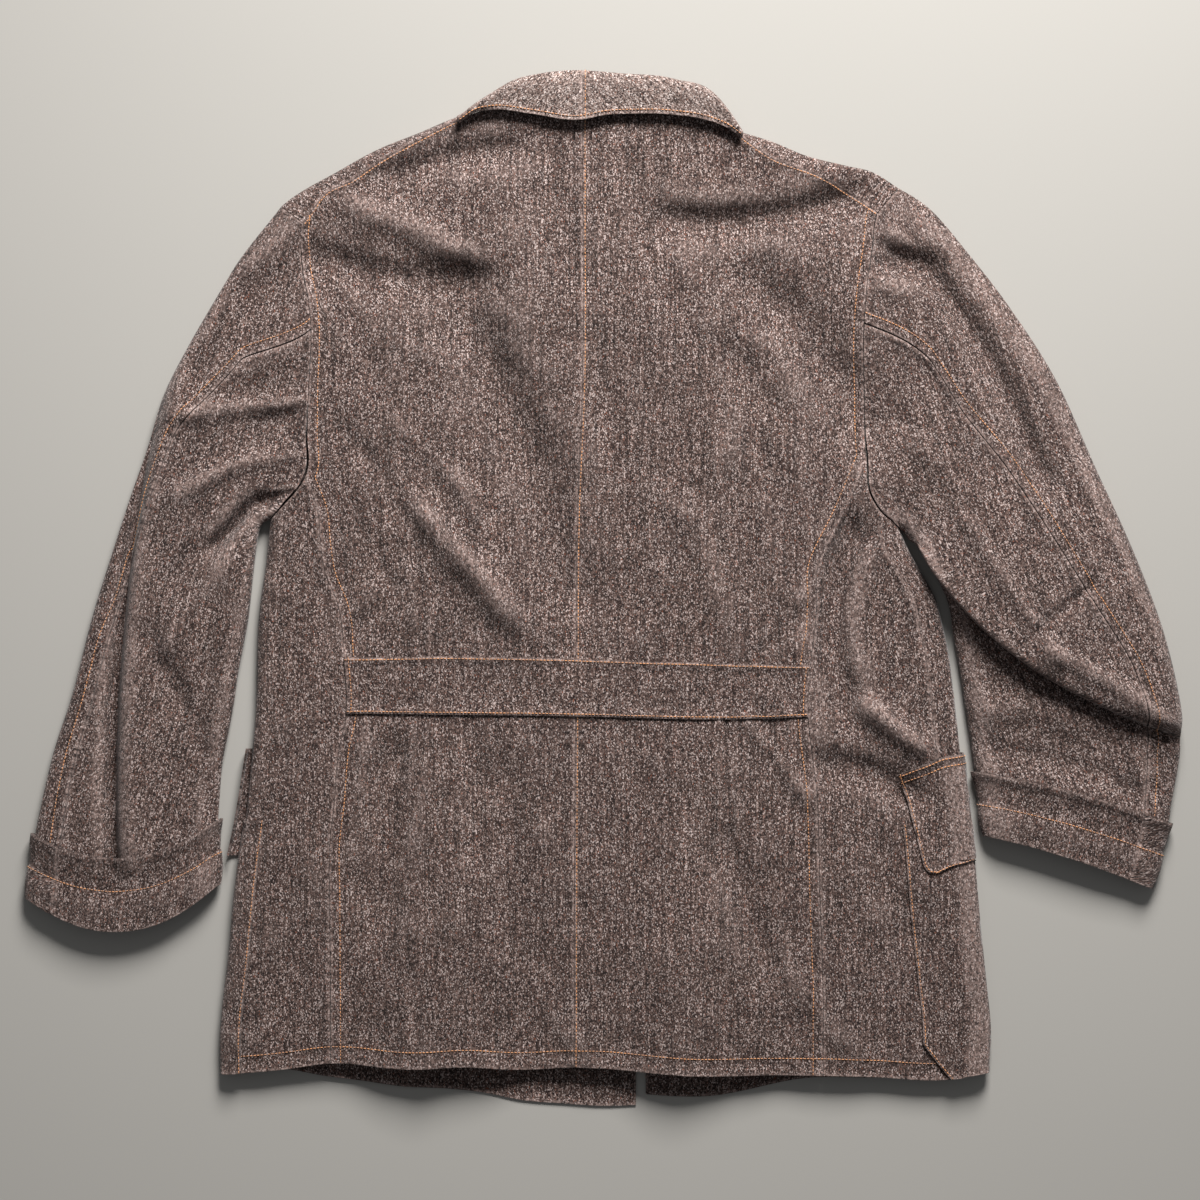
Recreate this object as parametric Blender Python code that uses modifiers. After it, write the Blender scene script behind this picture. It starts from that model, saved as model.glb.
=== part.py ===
"""A short work jacket in heavy twill, laid flat on its fronts with its back up and its fronts open.

Each sewn piece is one thin wall of cloth, made from a grid whose points are moved onto the garment's form.
Lengths in the tables are millimetres. +X runs to the right sleeve, +Y to the collar and +Z up.
"""

import math
from collections import namedtuple

import bmesh
import bpy
import numpy as np

MM = 0.001

# Cloth and seams.
CLOTH = 1.5  # thickness of one wall
SEAM_GAP = 0.3  # between pieces that are sewn edge to edge
SIDE_SEAM_GAP = 0.6  # at the underarm seam, which nears the side's fold
LAYER = CLOTH + SEAM_GAP  # from one wall's middle to the next one's, where a piece lies on another
FLOOR_MIDDLE = CLOTH / 2  # the middle of a wall that rests on the floor
LEAST_CLEAR = LAYER + 0.4  # the back's middle over the fronts' middle where the back sinks onto them

# Where the jacket's box has its middle, in the tables' own frame.
DATUM_X = 0.125
DATUM_Y = 0.732

Table = namedtuple("Table", "columns rows")
Side = namedtuple("Side", "name sign fold seam armhole split neck_share tip_shift lanes front_edge front_hem")

# The centre back seam, and the lines that cross the back from side to side.
CENTRE_BACK = Table(("y", "x"), [
    (-361, -21.7), (-158, -21), (-50, -20.2), (69, -18.7), (145, -15.7), (354, -15)])
BACK_HEM = Table(("x", "y"), [
    (-291, -368), (-244, -364), (-205, -359), (-151, -362.5), (-105, -361), (-62, -364), (-22, -362),
    (31, -365), (77, -368), (135, -368), (205, -369.5), (262, -371.5), (280, -369), (294, -366)])
BELT_BOTTOM = Table(("x", "y"), [(-195, -93), (-100, -94), (0, -95.5), (80, -97.5), (160, -95.5)])
BELT_TOP = Table(("x", "y"), [(-195, -51), (-100, -50), (0, -52.5), (100, -55.5), (160, -57)])
# The back's upper edge: shoulder seam, neckline, shoulder seam.
BACK_TOP = Table(("x", "y"), [
    (-227, 279), (-211, 300), (-190, 311), (-169, 326), (-140, 342), (-110, 357), (-93, 364), (-55, 365),
    (-15, 364), (40, 364), (80, 363), (106, 344), (124, 331), (165, 314.5), (187, 303), (208.5, 287)])
# Where the fronts fold over the shoulders, seen from above.
SHOULDER_FOLD = Table(("x", "y"), [
    (-244, 292), (-239, 296), (-202, 318), (-169, 336), (-140, 352), (-110, 366), (106, 354), (129, 341),
    (153, 331), (186, 322.5), (205, 318), (224.5, 306)])
FRONT_NECK = Table(("x", "y"), [
    (-110, 357), (-80, 336), (-30, 322), (26, 318), (33, 318), (60, 322), (95, 336), (106, 344)])

# The body's sides: the fold in plan, and the seam between back and side panel.
LEFT_FOLD = Table(("y", "x"), [
    (-368, -288.5), (-335, -288.5), (-278, -282.5), (-221, -277), (-173, -270.5), (-131, -266.5),
    (-83, -262.7), (-49, -262), (-15, -260.4), (20, -255.5), (54, -252)])
RIGHT_FOLD = Table(("y", "x"), [
    (-366, 292), (-337, 293.3), (-296, 289.5), (-252, 285), (-198, 280), (-169, 276.5), (-138, 273),
    (-115, 270.5), (-79, 266.8), (-41, 261.5), (-24, 257.5), (-4, 252), (12, 243), (23, 236.5), (35, 230),
    (48.5, 224.5)])
LEFT_SEAM = Table(("y", "x"), [
    (-347, -206.5), (-240, -207), (-189, -207), (-164, -204), (-120, -200), (-97, -195), (-49, -196.5),
    (-7, -202), (12, -210), (35, -214), (63, -217), (86, -225.8)])
RIGHT_SEAM = Table(("y", "x"), [
    (-354, 167.5), (-310, 167.5), (-233, 165), (-148, 162), (-123, 159), (-97, 156), (-50, 158.5), (-19, 162),
    (23, 164.5), (42, 172.8), (69, 186.5), (103, 200.2)])

# The armholes, from the shoulder fold down to the fold under the arm.
LEFT_ARMHOLE = Table(("y", "x"), [
    (54, -252), (66, -241), (78, -230.5), (86, -225.8), (120, -224), (150, -223), (195, -221), (220, -223),
    (245, -228), (268, -229), (279, -227), (286, -234), (292, -244)])
RIGHT_ARMHOLE = Table(("y", "x"), [
    (48.5, 224.5), (59, 212), (70, 204.5), (103, 200.2), (146, 199.4), (197, 198), (229, 200.2), (263, 204.7),
    (280, 206.5), (287, 208.5), (298, 216), (306, 224.5)])

# Across a half body, a lane runs from the centre back (0) to the side-back seam (1), the underarm seam (2), the
# foot of the armhole (FOOT_LANE) and the front edge (3). Beyond the seams a lane's reach is its signed distance
# from the fold, above zero on the upper side.
FOOT_LANE = 2.35
POCKET_LANE = 2.35 + 0.35 * 2 / 3
NECK_LANE = 2.7
FRONT_LANE = 3.0
LEFT_LANES = Table(("lane", "reach"), [
    (1.3, 14), (1.8, -12), (2.0, -20), (FOOT_LANE, -26), (POCKET_LANE, -118)])
RIGHT_LANES = Table(("lane", "reach"), [
    (1.4, 50), (2.0, 18), (2.08, 12), (2.24, -12), (FOOT_LANE, -24.3), (POCKET_LANE, -118)])
FOLD_REACH = 12.0  # how far a fold's rounding runs in from its edge
SIDE_SHARE = 0.8  # the most of a narrow side panel that lies outside its first lane

LEFT_FRONT_HEM = Table(("x", "y"), [
    (-291, -367), (-241, -364.5), (-213, -369.5), (-182, -373.5), (-151, -378), (-120, -379.5), (-89, -383),
    (-62, -388.5), (-31, -391), (0, -393), (25.4, -392.3)])
RIGHT_FRONT_HEM = Table(("x", "y"), [
    (33, -384), (54, -385.5), (85, -385), (108, -381), (121, -378), (150, -372), (205, -371), (262, -371),
    (294, -366)])

# split is the height where the side-back seam meets the armhole, neck_share the part of the way from the centre
# back to the armhole where the shoulder seam meets the collar, and tip_shift how far the shoulder fold runs on
# past the seam.
SIDES = (
    Side("left", -1, LEFT_FOLD, LEFT_SEAM, LEFT_ARMHOLE, split=86.0, neck_share=0.415, tip_shift=-17.0,
         lanes=LEFT_LANES, front_edge=25.4, front_hem=LEFT_FRONT_HEM),
    Side("right", 1, RIGHT_FOLD, RIGHT_SEAM, RIGHT_ARMHOLE, split=103.0, neck_share=0.505, tip_shift=16.0,
         lanes=RIGHT_LANES, front_edge=33.0, front_hem=RIGHT_FRONT_HEM),
)

# The height of the upper cloth's middle along the body, and the folds that ride on it. A fold runs from one end
# to the other with a bow to its left, falls off over its two widths, and is a ridge above zero or a trough below.
BODY_HEIGHT = Table(("y", "z"), [
    (-372, 7.5), (-300, 8.5), (-95, 9), (-50, 9), (60, 10.5), (200, 12.5), (300, 11.5), (370, 10.5)])
FOLD_COLUMNS = ("x0", "y0", "x1", "y1", "bow", "left", "right", "height")
BODY_FOLDS = Table(FOLD_COLUMNS, [
    (-177, 286, -124, 263, 4, 12, 12, 3.0),
    (-207, 248, -116, 248, -6, 12, 16, -3.6),
    (-154, 316, -78, 335, 4, 10, 12, -3.0),
    (-101, 168, -36, 23, 12, 16, 14, -4.5),
    (-131, 54, -78, -7, 0, 12, 14, 3.6),
    (-63, 260, -60, 190, 0, 26, 26, 2.6),
    (66, 282, 180, 297, -6, 12, 16, -4.2),
    (127, 221, 192, 137, 8, 16, 14, -4.4),
    (108, 168, 120, 148, 0, 14, 14, -2.6),
    (206, -92, 232, -112, 0, 9, 9, 3.6),
    (184, -136, 226, -151, 3, 12, 12, -3.6),
    (101, -212, 120, -273, 3, 14, 14, -2.6),
    (-158, -129, -165, -235, 3, 12, 12, -2.8),
    (190, 38, 187, -80, -13, 10, 14, -4.4),
    (-131, -366, -124, -270, 0, 46, 46, 4.2),
    (60, -368, 66, -285, 0, 40, 40, 4.0),
])

# The sleeves: each row is a section across the laid sleeve, from its outer to its inner edge. bow carries the
# middle of the section on towards the cuff. back_seam is where the seam crosses, as a share from the outer edge.
SLEEVE_COLUMNS = ("outer_x", "outer_y", "inner_x", "inner_y", "bow", "height", "back_seam")
LEFT_SLEEVE = Table(SLEEVE_COLUMNS, [
    (-250, 288, -255, 53, 0, 11, 0.40),
    (-272, 258, -261, 49, 0, 13, 0.36),
    (-289, 230, -264, 34, 0, 15, 0.32),
    (-314, 187, -267, 8, 0, 16, 0.24),
    (-333, 149, -270, -20, 0, 17, 0.16),
    (-346, 107, -274, -42, 0, 17, 0.13),
    (-360, 67, -278, -63, 0, 16, 0.13),
    (-374, 24, -281, -84, 0, 16, 0.13),
    (-388, -21, -285, -106, 2, 15, 0.13),
    (-403, -79, -290, -131, 7, 15, 0.13),
    (-418, -126, -292, -155, 14, 15, 0.13),
    (-431, -185, -293, -173, 23, 15, 0.13),
    (-434, -210, -293, -198, 27, 14, 0.13),
    (-437, -234, -293, -223, 30, 13, 0.13),
])
RIGHT_SLEEVE = Table(SLEEVE_COLUMNS, [
    (228, 300, 227, 48, 0, 11, 0.40),
    (252, 286, 229, 45, 0, 14, 0.42),
    (277, 257, 231, 43, 0, 17, 0.44),
    (309, 215, 232, 41, 0, 19, 0.46),
    (344, 160, 233, 40, 0, 21, 0.44),
    (374, 93, 234, 39, 4, 23, 0.38),
    (399, 38, 235, 38, 8, 25, 0.32),
    (420, -15, 236, 38, 13, 26, 0.24),
    (432, -56, 237, 38, 19, 27, 0.15),
    (439, -92, 238, 37, 23, 28, 0.10),
    (439, -106, 240, 35, 24, 23, 0.10),
    (439, -113, 246, 27, 23, 13, 0.11),
    (439, -121, 263, -7, 15, 14, 0.12),
    (438, -131, 268, -35, 9, 14, 0.13),
    (436, -142, 273, -63, 4, 14, 0.13),
    (434, -153, 277, -90, 0, 14, 0.13),
    (432, -164, 281, -115, -2, 14, 0.13),
    (430, -176, 284, -137, -4, 15, 0.13),
    (424, -200, 288, -161, -4, 14, 0.13),
    (416, -226, 292, -186, -3, 13, 0.13),
])
SLEEVE_REACH = 14.0  # the rounding at a sleeve's two edges
SLEEVE_CROWN = 0.18  # how much fuller a sleeve is along its middle than beside its edges
ARMHOLE_BLEND = 1.6  # sections over which a sleeve leaves the armhole's line
CUFF_SECTIONS = 2  # the last sections of a sleeve, which its cuff wraps
SLEEVE_SHORT = 0.12  # of a section, by which the sleeve ends inside its cuff
SLEEVE_SEAM_GAP = 0.8
UNDERARM_GAP = 1.6  # where the armhole's seam turns tightly under the arm
FRONT_SEAM = 0.72  # share from the outer edge where the hidden front seam runs
LEFT_SLEEVE_FOLDS = Table(FOLD_COLUMNS, [
    (-333, 160, -370, -90, 9, 5, 9, -5.0),
    (-370, -90, -371, -200, 0, 5, 9, -4.5),
    (-252, 80, -294, 35, 0, 9, 9, -4.0),
])
RIGHT_SLEEVE_FOLDS = Table(FOLD_COLUMNS, [
    (208, 235, 256, 238, -8, 10, 12, -4.0),
    (256, 238, 288, 159, 6, 12, 12, -4.5),
    (331, -28, 367, 1, 0, 9, 9, -4.0),
])

# The collar's section, from the neckline up its stand, round the fold and down to its free edge. run is a share of
# the way from the neckline to the fold, or back from the fold to the free edge, and rise is a height over the back.
COLLAR_SECTION = Table(("back_from_fold", "run", "rise"), [
    (0, 0.0, 0.2), (0, 0.45, 0.8), (0, 0.8, 2.2), (0, 0.96, 4.4), (1, 0.0, 6.6), (1, 0.05, 8.8),
    (1, 0.2, 10.4), (1, 0.55, 9.6), (1, 1.0, 7.4)])
LEAST_STAND = 3.0  # from the neckline to the collar's fold, in plan
COLLAR_TOP = Table(("x", "y"), [
    (-109, 361), (-99, 367), (-84, 376), (-67, 386), (-49, 390.5), (-23, 393), (13, 391), (55, 386.5),
    (85, 375), (98, 360), (106, 349)])
COLLAR_EDGE = Table(("x", "y"), [
    (-109, 352), (-99, 361), (-84, 364), (-54, 361), (-19, 356), (3, 360), (22, 361), (55, 360), (77, 356.5),
    (95, 350), (106, 343)])
COLLAR_SHORT = 0.2  # of a step, by which the collar ends before the shoulder's fold
COLLAR_GAP = 0.8  # the neck seam's, where the stand rises from the back

# How finely the grids run.
NECK_STEPS = 4  # from the centre back to the neck point
SHOULDER_LANES = 6  # from the neck point to the armhole on the back; the front has half as many
RIGHT_SIDE_LANES = (1.0, 1.14, 1.27, 1.4, 1.7, 2.0)
RIGHT_WRAP_LANES = (2.0, 2.08, 2.12, 2.16, 2.2, 2.24, 2.3)
LEFT_SIDE_LANES = (1.0, 1.1, 1.2, 1.3, 1.4, 1.5, 1.55, 1.6, 1.7, 1.8, 2.0)
LEFT_WRAP_LANES = (2.0, 2.17)
HEM_STEPS = 10  # from the hem to the belt
BELT_STEPS = 3
WAIST_STEPS = 7  # from the belt to the armhole's foot
YOKE_STEPS = 8  # from the armhole's foot to the shoulder seam
FRONT_YOKE_STEPS = 4
SHOULDER_STEPS = 3  # round each half of the shoulder fold
CUFF_STEPS = 3
FOOT_SAMPLES = 60  # heights at which a lane is compared with the armhole
FAR = 1e3  # the reach given to a lane that is nowhere near the side's fold
SINK = 0.8  # how softly the upper cloth comes to rest on the cloth under it
SETTLING = 40  # rounds in which a point's x and y, which depend on each other, are brought together

# Pockets and flaps lie outside the front and side panels. Rows count up from the hem.
POCKET_TOP_ROW = 7
FLAP_ROWS = (6, 9)
MITRE = 0.6  # of the first square, cut off the pocket's lower back corner
POCKET_EDGE_LANES = {"left": 1.3, "right": 1.4}
BESIDE_POCKET = 0.3  # lanes beyond a pocket's edges that steer the normals there
FLAP_OUT = Table(("row", "out"), [(6, 10), (7, 8), (8, 6.2), (9, 4.5)])  # the left flap beyond the side's fold
FLAP_LIP = 1.5  # rise of the left flap's lip, before it turns up by FLAP_TURN_UP
FLAP_TURN_UP = 9.0
FLAP_LEAN = 0.5  # how far its turned-up edge leans out

COLOURS = {
    "twill": (0.16, 0.125, 0.11), "twill_bias": (0.155, 0.12, 0.105), "twill_lined": (0.15, 0.12, 0.105)}
CLOTH_ROUGHNESS = 0.95


def column(table, name):
    """One column of a table as an array."""
    return np.array([row[table.columns.index(name)] for row in table.rows], float)


def smooth(xs, ys, at):
    """A cubic through the points (xs, ys), read at the places in at and held level past its ends."""
    xs, ys = np.asarray(xs, float), np.asarray(ys, float)
    at = np.clip(np.asarray(at, float), xs[0], xs[-1])
    slopes = np.gradient(ys, xs)
    i = np.clip(np.searchsorted(xs, at, side="right") - 1, 0, len(xs) - 2)
    step = xs[i + 1] - xs[i]
    t = (at - xs[i]) / step
    return (ys[i] * (1 + 2 * t) * (1 - t) ** 2 + ys[i + 1] * t * t * (3 - 2 * t)
            + step * (slopes[i] * t * (1 - t) ** 2 - slopes[i + 1] * t * t * (1 - t)))


def read(table, key, value, at):
    """The value column of a table, smooth along its key column."""
    return smooth(column(table, key), column(table, value), at)


def ease(t):
    """0 below 0, 1 above 1, smooth between."""
    t = np.clip(t, 0.0, 1.0)
    return t * t * (3 - 2 * t)


def mix(a, b, t):
    """a where t is 0, b where t is 1."""
    return a + (b - a) * t


def folds(table, x, y):
    """The height that a table of folds adds at each place."""
    total = np.zeros(np.broadcast(x, y).shape)
    for x0, y0, x1, y1, bow, left, right, height in table.rows:
        length = math.hypot(x1 - x0, y1 - y0)
        along = ((x - x0) * (x1 - x0) + (y - y0) * (y1 - y0)) / length ** 2
        aside = ((x1 - x0) * (y - y0) - (y1 - y0) * (x - x0)) / length
        inside = np.clip(along, 0, 1)
        aside = aside - bow * 4 * inside * (1 - inside)
        beyond = (along - inside) * length
        width = np.where(aside > 0, left, right)
        total = total + height * np.exp(-(aside / width) ** 2 - (beyond / (left + right)) ** 2)
    return total


def body_height(x, y, under):
    """The middle of the upper cloth, which never sinks into the cloth under it."""
    height = read(BODY_HEIGHT, "y", "z", y) + folds(BODY_FOLDS, x, y)
    least = under + LEAST_CLEAR
    return least + np.log1p(np.exp((height - least) / SINK)) * SINK


def lane_share(side, lane):
    """A front lane's share of the way from the centre back to the armhole."""
    return 1 - (lane - FOOT_LANE) / (NECK_LANE - FOOT_LANE) * (1 - side.neck_share)


def place(side, lane, y):
    """Where a lane lies at y: its x, and its reach from the side's fold, which is large far from it."""
    centre = read(CENTRE_BACK, "y", "x", y)
    fold = read(side.fold, "y", "x", y)
    armhole = read(side.armhole, "y", "x", y)
    seam = np.where(y < side.split, read(side.seam, "y", "x", y), armhole)
    back = mix(centre, seam, lane)
    seam_reach = (fold - seam) * side.sign
    knots = np.concatenate([[1.0], column(side.lanes, "lane")])
    first = knots[1]
    reach = np.interp(lane, knots[1:], column(side.lanes, "reach"))
    narrow = np.minimum(1, seam_reach * SIDE_SHARE / side.lanes.rows[0][1])
    reach = np.where(reach > 0, reach * narrow, reach)
    reach = np.where(lane < first, mix(seam_reach, reach, np.clip((lane - 1) / (first - 1), 0, 1)), reach)
    inset = np.where(np.abs(reach) < FOLD_REACH, FOLD_REACH * (1 - np.cos(reach / FOLD_REACH * math.pi / 2)),
                     np.abs(reach))
    low = fold - side.sign * inset
    low = np.where(lane > POCKET_LANE,
                   mix(low, side.front_edge, (lane - POCKET_LANE) / (FRONT_LANE - POCKET_LANE)), low)
    above = read(side.armhole, "y", "x", np.maximum(y, side.split))
    shoulder = mix(centre, above, lane_share(side, lane))
    neck = mix(centre, above, side.neck_share)
    past_neck = (lane - NECK_LANE) / (FRONT_LANE - NECK_LANE)
    high = np.where(lane > NECK_LANE, mix(neck, side.front_edge, past_neck), shoulder)
    waist = BELT_TOP.rows[0][1]
    under = np.where(lane >= FOOT_LANE, mix(low, high, ease((y - waist) / (side.split - waist))), low)
    return np.where(lane <= 1, back, under), np.where(lane <= 1, FAR, reach)


def armhole_foot(side, lane):
    """The height at which each lane between the side-back seam and the armhole's foot meets the armhole."""
    y = np.linspace(side.armhole.rows[0][0], side.split, FOOT_SAMPLES)
    out = side.sign * (place(side, lane.ravel()[:, None], y[None, :])[0] - read(side.armhole, "y", "x", y))
    after = np.clip(np.argmax(out > 0, axis=1), 1, None)
    lanes = np.arange(lane.size)
    low, high = out[lanes, after - 1], out[lanes, after]
    share = np.clip(-low / np.where(high > low, high - low, 1), 0, 1)
    return mix(y[after - 1], y[after], share).reshape(lane.shape)


def body(side, lane, row, lift=0.0):
    """Points of a half body. A row runs from the hem (0) to the belt (1 to 2), the foot of the armhole (3), the
    shoulder or neck (4), the shoulder's fold (5) and the shoulder seam again (6). lift raises the lower cloth."""
    lane, row, lift = np.broadcast_arrays(np.asarray(lane, float), np.asarray(row, float), np.asarray(lift, float))
    front = lane > 2
    foot = np.where((lane > 1) & (lane < FOOT_LANE), armhole_foot(side, lane), side.split)
    y = mix(BACK_HEM.rows[0][1], side.split, np.clip(row / 3, 0, 1))
    for _ in range(SETTLING):
        x, reach = place(side, lane, y)
        hem = np.where(front, read(side.front_hem, "x", "y", x), read(BACK_HEM, "x", "y", x))
        bottom, top = read(BELT_BOTTOM, "x", "y", x), read(BELT_TOP, "x", "y", x)
        head = np.where(lane > NECK_LANE, read(FRONT_NECK, "x", "y", x), read(BACK_TOP, "x", "y", x))
        aim = np.select([row <= 1, row <= 2, row <= 3],
                        [mix(hem, bottom, row), mix(bottom, top, row - 1), mix(top, foot, row - 2)],
                        mix(side.split, head, np.clip(row - 3, 0, 1)))
        y = mix(y, aim, 0.5)
    share = np.where(lane <= 1, lane, lane_share(side, lane))
    tip_x = x + side.tip_shift * ease((share - 0.6) / 0.4)
    tip_y = read(SHOULDER_FOLD, "x", "y", tip_x)
    turn = np.clip(row - 5, -1, 1)
    over = row > 4
    x = np.where(over, mix(tip_x, x, 1 - np.cos(turn * math.pi / 2)), x)
    y = np.where(over, mix(tip_y, y, 1 - np.cos(turn * math.pi / 2)), y)
    swing = np.where(over, turn, np.clip(reach / FOLD_REACH, -1, 1))
    swing = np.where(~over & (lane >= FOOT_LANE), -1.0, swing)
    base = FLOOR_MIDDLE + lift
    upper = body_height(x, y, base)
    middle = (upper + base) / 2
    z = middle + (upper - middle) * np.sin(swing * math.pi / 2)
    return np.stack([x, y, z], axis=-1)


def normals(points):
    """Unit normals of a grid of points, each the mean of the squares round it."""
    square = np.cross(points[1:, 1:] - points[:-1, :-1], points[1:, :-1] - points[:-1, 1:])
    square = square / np.linalg.norm(square, axis=-1, keepdims=True)
    normal = np.zeros(points.shape)
    for i in (0, 1):
        for j in (0, 1):
            normal[i:i + square.shape[0], j:j + square.shape[1]] += square
    return normal / np.linalg.norm(normal, axis=-1, keepdims=True)


def moved_out(points, distance, upward):
    """The grid moved along its normals. upward is a grid place (row, column) whose normal has to point up."""
    normal = normals(points)
    facing = 1.0 if normal[upward][2] > 0 else -1.0
    return points + normal * facing * np.asarray(distance, float)[..., None]


def rows_to(*stages):
    """Row values through stages of (start, end, steps), each start given once."""
    values = [stages[0][0]]
    for start, end, steps in stages:
        values += [mix(start, end, (i + 1) / steps) for i in range(steps)]
    return np.array(values)


LOW_ROWS = rows_to((0, 1, HEM_STEPS), (1, 2, BELT_STEPS), (2, 3, WAIST_STEPS))
YOKE_ROWS = rows_to((3, 4, YOKE_STEPS))
FRONT_YOKE_ROWS = rows_to((3, 4, FRONT_YOKE_STEPS))
SHOULDER_ROWS = rows_to((4, 5, SHOULDER_STEPS), (5, 6, SHOULDER_STEPS))


def layers_under(lane, rows):
    """How many pieces lie under the front at each grid place: the pocket, and the flap over it."""
    index = np.arange(len(rows))[:, None] + np.zeros_like(lane)[None, :]
    held = (lane[None, :] <= POCKET_LANE + 1e-6) & (lane[None, :] > 1) & (index <= len(LOW_ROWS))
    pocket = index <= POCKET_TOP_ROW
    flap = (index >= FLAP_ROWS[0] - 1) & (index <= FLAP_ROWS[1])
    return np.where(held, pocket.astype(float) + flap, 0.0)


def cloth_material(name):
    """A plain rough material in the cloth's colour."""
    material = bpy.data.materials.new(name)
    material.use_nodes = True
    shader = material.node_tree.nodes["Principled BSDF"]
    shader.inputs["Base Color"].default_value = (*COLOURS[name], 1)
    shader.inputs["Roughness"].default_value = CLOTH_ROUGHNESS
    shader.inputs["Metallic"].default_value = 0
    return material


def cloth_piece(name, points, material, collection, keep=None):
    """A wall of cloth through a grid of points. keep says which of the grid's squares are cloth."""
    rows, columns = points.shape[:2]
    mesh = bpy.data.meshes.new(name)
    shape = bmesh.new()
    bmesh.ops.create_grid(shape, x_segments=columns - 1, y_segments=rows - 1, size=1)
    shape.verts.ensure_lookup_table()
    for vertex in shape.verts:
        i = round((vertex.co.y + 1) / 2 * (rows - 1))
        j = round((vertex.co.x + 1) / 2 * (columns - 1))
        vertex.co = (points[i, j] - (DATUM_X, DATUM_Y, 0)) * MM
        vertex.index = i * columns + j
    if keep is not None:
        spare = []
        for face in shape.faces:
            i = min(vertex.index // columns for vertex in face.verts)
            j = min(vertex.index % columns for vertex in face.verts)
            if not keep[i, j]:
                spare.append(face)
        bmesh.ops.delete(shape, geom=spare, context="FACES")
    shape.to_mesh(mesh)
    shape.free()
    mesh.shade_smooth()
    piece = bpy.data.objects.new(name, mesh)
    collection.objects.link(piece)
    mesh.materials.append(material)
    wall = piece.modifiers.new("Wall", "SOLIDIFY")
    wall.thickness = CLOTH * MM
    wall.offset = 0
    return piece


def gap_column(points, here, away, gap=SEAM_GAP):
    """Draws one edge column of a grid back from its seam by half the gap."""
    run = points[:, away] - points[:, here]
    run = run / np.linalg.norm(run, axis=-1, keepdims=True)
    points[:, here] += run * gap / 2


def gap_row(points, here, away):
    """Draws one edge row of a grid back from its seam by half the gap."""
    run = points[away] - points[here]
    run = run / np.linalg.norm(run, axis=-1, keepdims=True)
    points[here] += run * SEAM_GAP / 2


def back_panel(side):
    """The grid of one back panel, from the centre back to the side seam and the armhole."""
    rows = np.concatenate([LOW_ROWS, YOKE_ROWS[1:]])
    shares = rows_to((0, side.neck_share, NECK_STEPS), (side.neck_share, 1, SHOULDER_LANES))
    points = body(side, shares[None, :], rows[:, None])
    for j in range(NECK_STEPS + 1, len(shares), 2):
        points[-1, j] = (points[-1, j - 1] + points[-1, j + 1]) / 2
    gap_column(points, 0, 1)
    gap_column(points, -1, -2)
    gap_row(points, -1, -2)
    return points


def side_lanes(side):
    """The side panel's lanes, and the front's lanes up to the foot of the armhole."""
    if side.sign < 0:
        return np.array(LEFT_SIDE_LANES), np.array(LEFT_WRAP_LANES)
    return np.array(RIGHT_SIDE_LANES), np.array(RIGHT_WRAP_LANES)


def front_lanes(side):
    """All lanes of a front, from the underarm seam to the front edge."""
    inner = rows_to((FOOT_LANE, NECK_LANE, SHOULDER_LANES // 2), (NECK_LANE, FRONT_LANE, 2))
    return np.concatenate([side_lanes(side)[1], inner])


def side_panel(side):
    """The grid of one side panel."""
    lanes = side_lanes(side)[0]
    points = body(side, lanes[None, :], LOW_ROWS[:, None], layers_under(lanes, LOW_ROWS) * LAYER)
    gap_column(points, 0, 1)
    gap_column(points, -1, -2, SIDE_SEAM_GAP)
    return points


def front_panel(side):
    """The grid of one front, and which of its squares are cloth."""
    lanes = front_lanes(side)
    rows = np.concatenate([LOW_ROWS, FRONT_YOKE_ROWS[1:], SHOULDER_ROWS[1:]])
    points = body(side, lanes[None, :], rows[:, None], layers_under(lanes, rows) * LAYER)
    low = len(LOW_ROWS) - 1
    yoke = low + FRONT_YOKE_STEPS
    foot = int(np.argmin(abs(lanes - FOOT_LANE)))
    neck = int(np.argmin(abs(lanes - NECK_LANE)))
    keep = np.ones((len(rows) - 1, len(lanes) - 1), bool)
    keep[low:, :foot] = False
    keep[yoke:, neck:] = False
    gap_column(points, 0, 1, SIDE_SEAM_GAP)
    gap_row(points, -1, -2)
    return points, keep


def armhole_chains(side):
    """The armhole's edge in two chains from the shoulder's fold to the fold under the arm, above and below."""
    side_row, wrap_row = side_lanes(side)
    foot_row = np.array([*wrap_row, FOOT_LANE])
    around = np.concatenate([side_row, foot_row[1:]])
    reach = place(side, around, np.full(len(around), side.fold.rows[-1][0]))[1]
    edge = np.interp(0.0, reach[::-1], around[::-1])
    upper = around[around < edge - 1e-6]
    lower = around[around > edge + 1e-6][::-1]

    def at(lanes, rows):
        return body(side, np.asarray(lanes, float), np.asarray(rows, float))

    over = SHOULDER_ROWS[SHOULDER_ROWS >= 5]
    under = SHOULDER_ROWS[(SHOULDER_ROWS > 4) & (SHOULDER_ROWS <= 5)][::-1]
    top = np.concatenate([at(np.full(len(over) - 1, FOOT_LANE), over[:-1]),
                          at(np.ones(len(YOKE_ROWS)), YOKE_ROWS[::-1]),
                          at(upper[1:], np.full(len(upper) - 1, 3.0)), at([edge], [3.0])])
    bottom = np.concatenate([at(np.full(len(under), FOOT_LANE), under),
                             at(np.full(len(FRONT_YOKE_ROWS), FOOT_LANE), FRONT_YOKE_ROWS[::-1]),
                             at(lower[1:], np.full(len(lower) - 1, 3.0)), at([edge], [3.0])])
    return top, bottom


def shares_along(chain):
    """Each point's share of the way along a chain in plan."""
    steps = np.linalg.norm(np.diff(chain[:, :2], axis=0), axis=1)
    run = np.concatenate([[0], np.cumsum(steps)])
    return run / run[-1]


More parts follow.
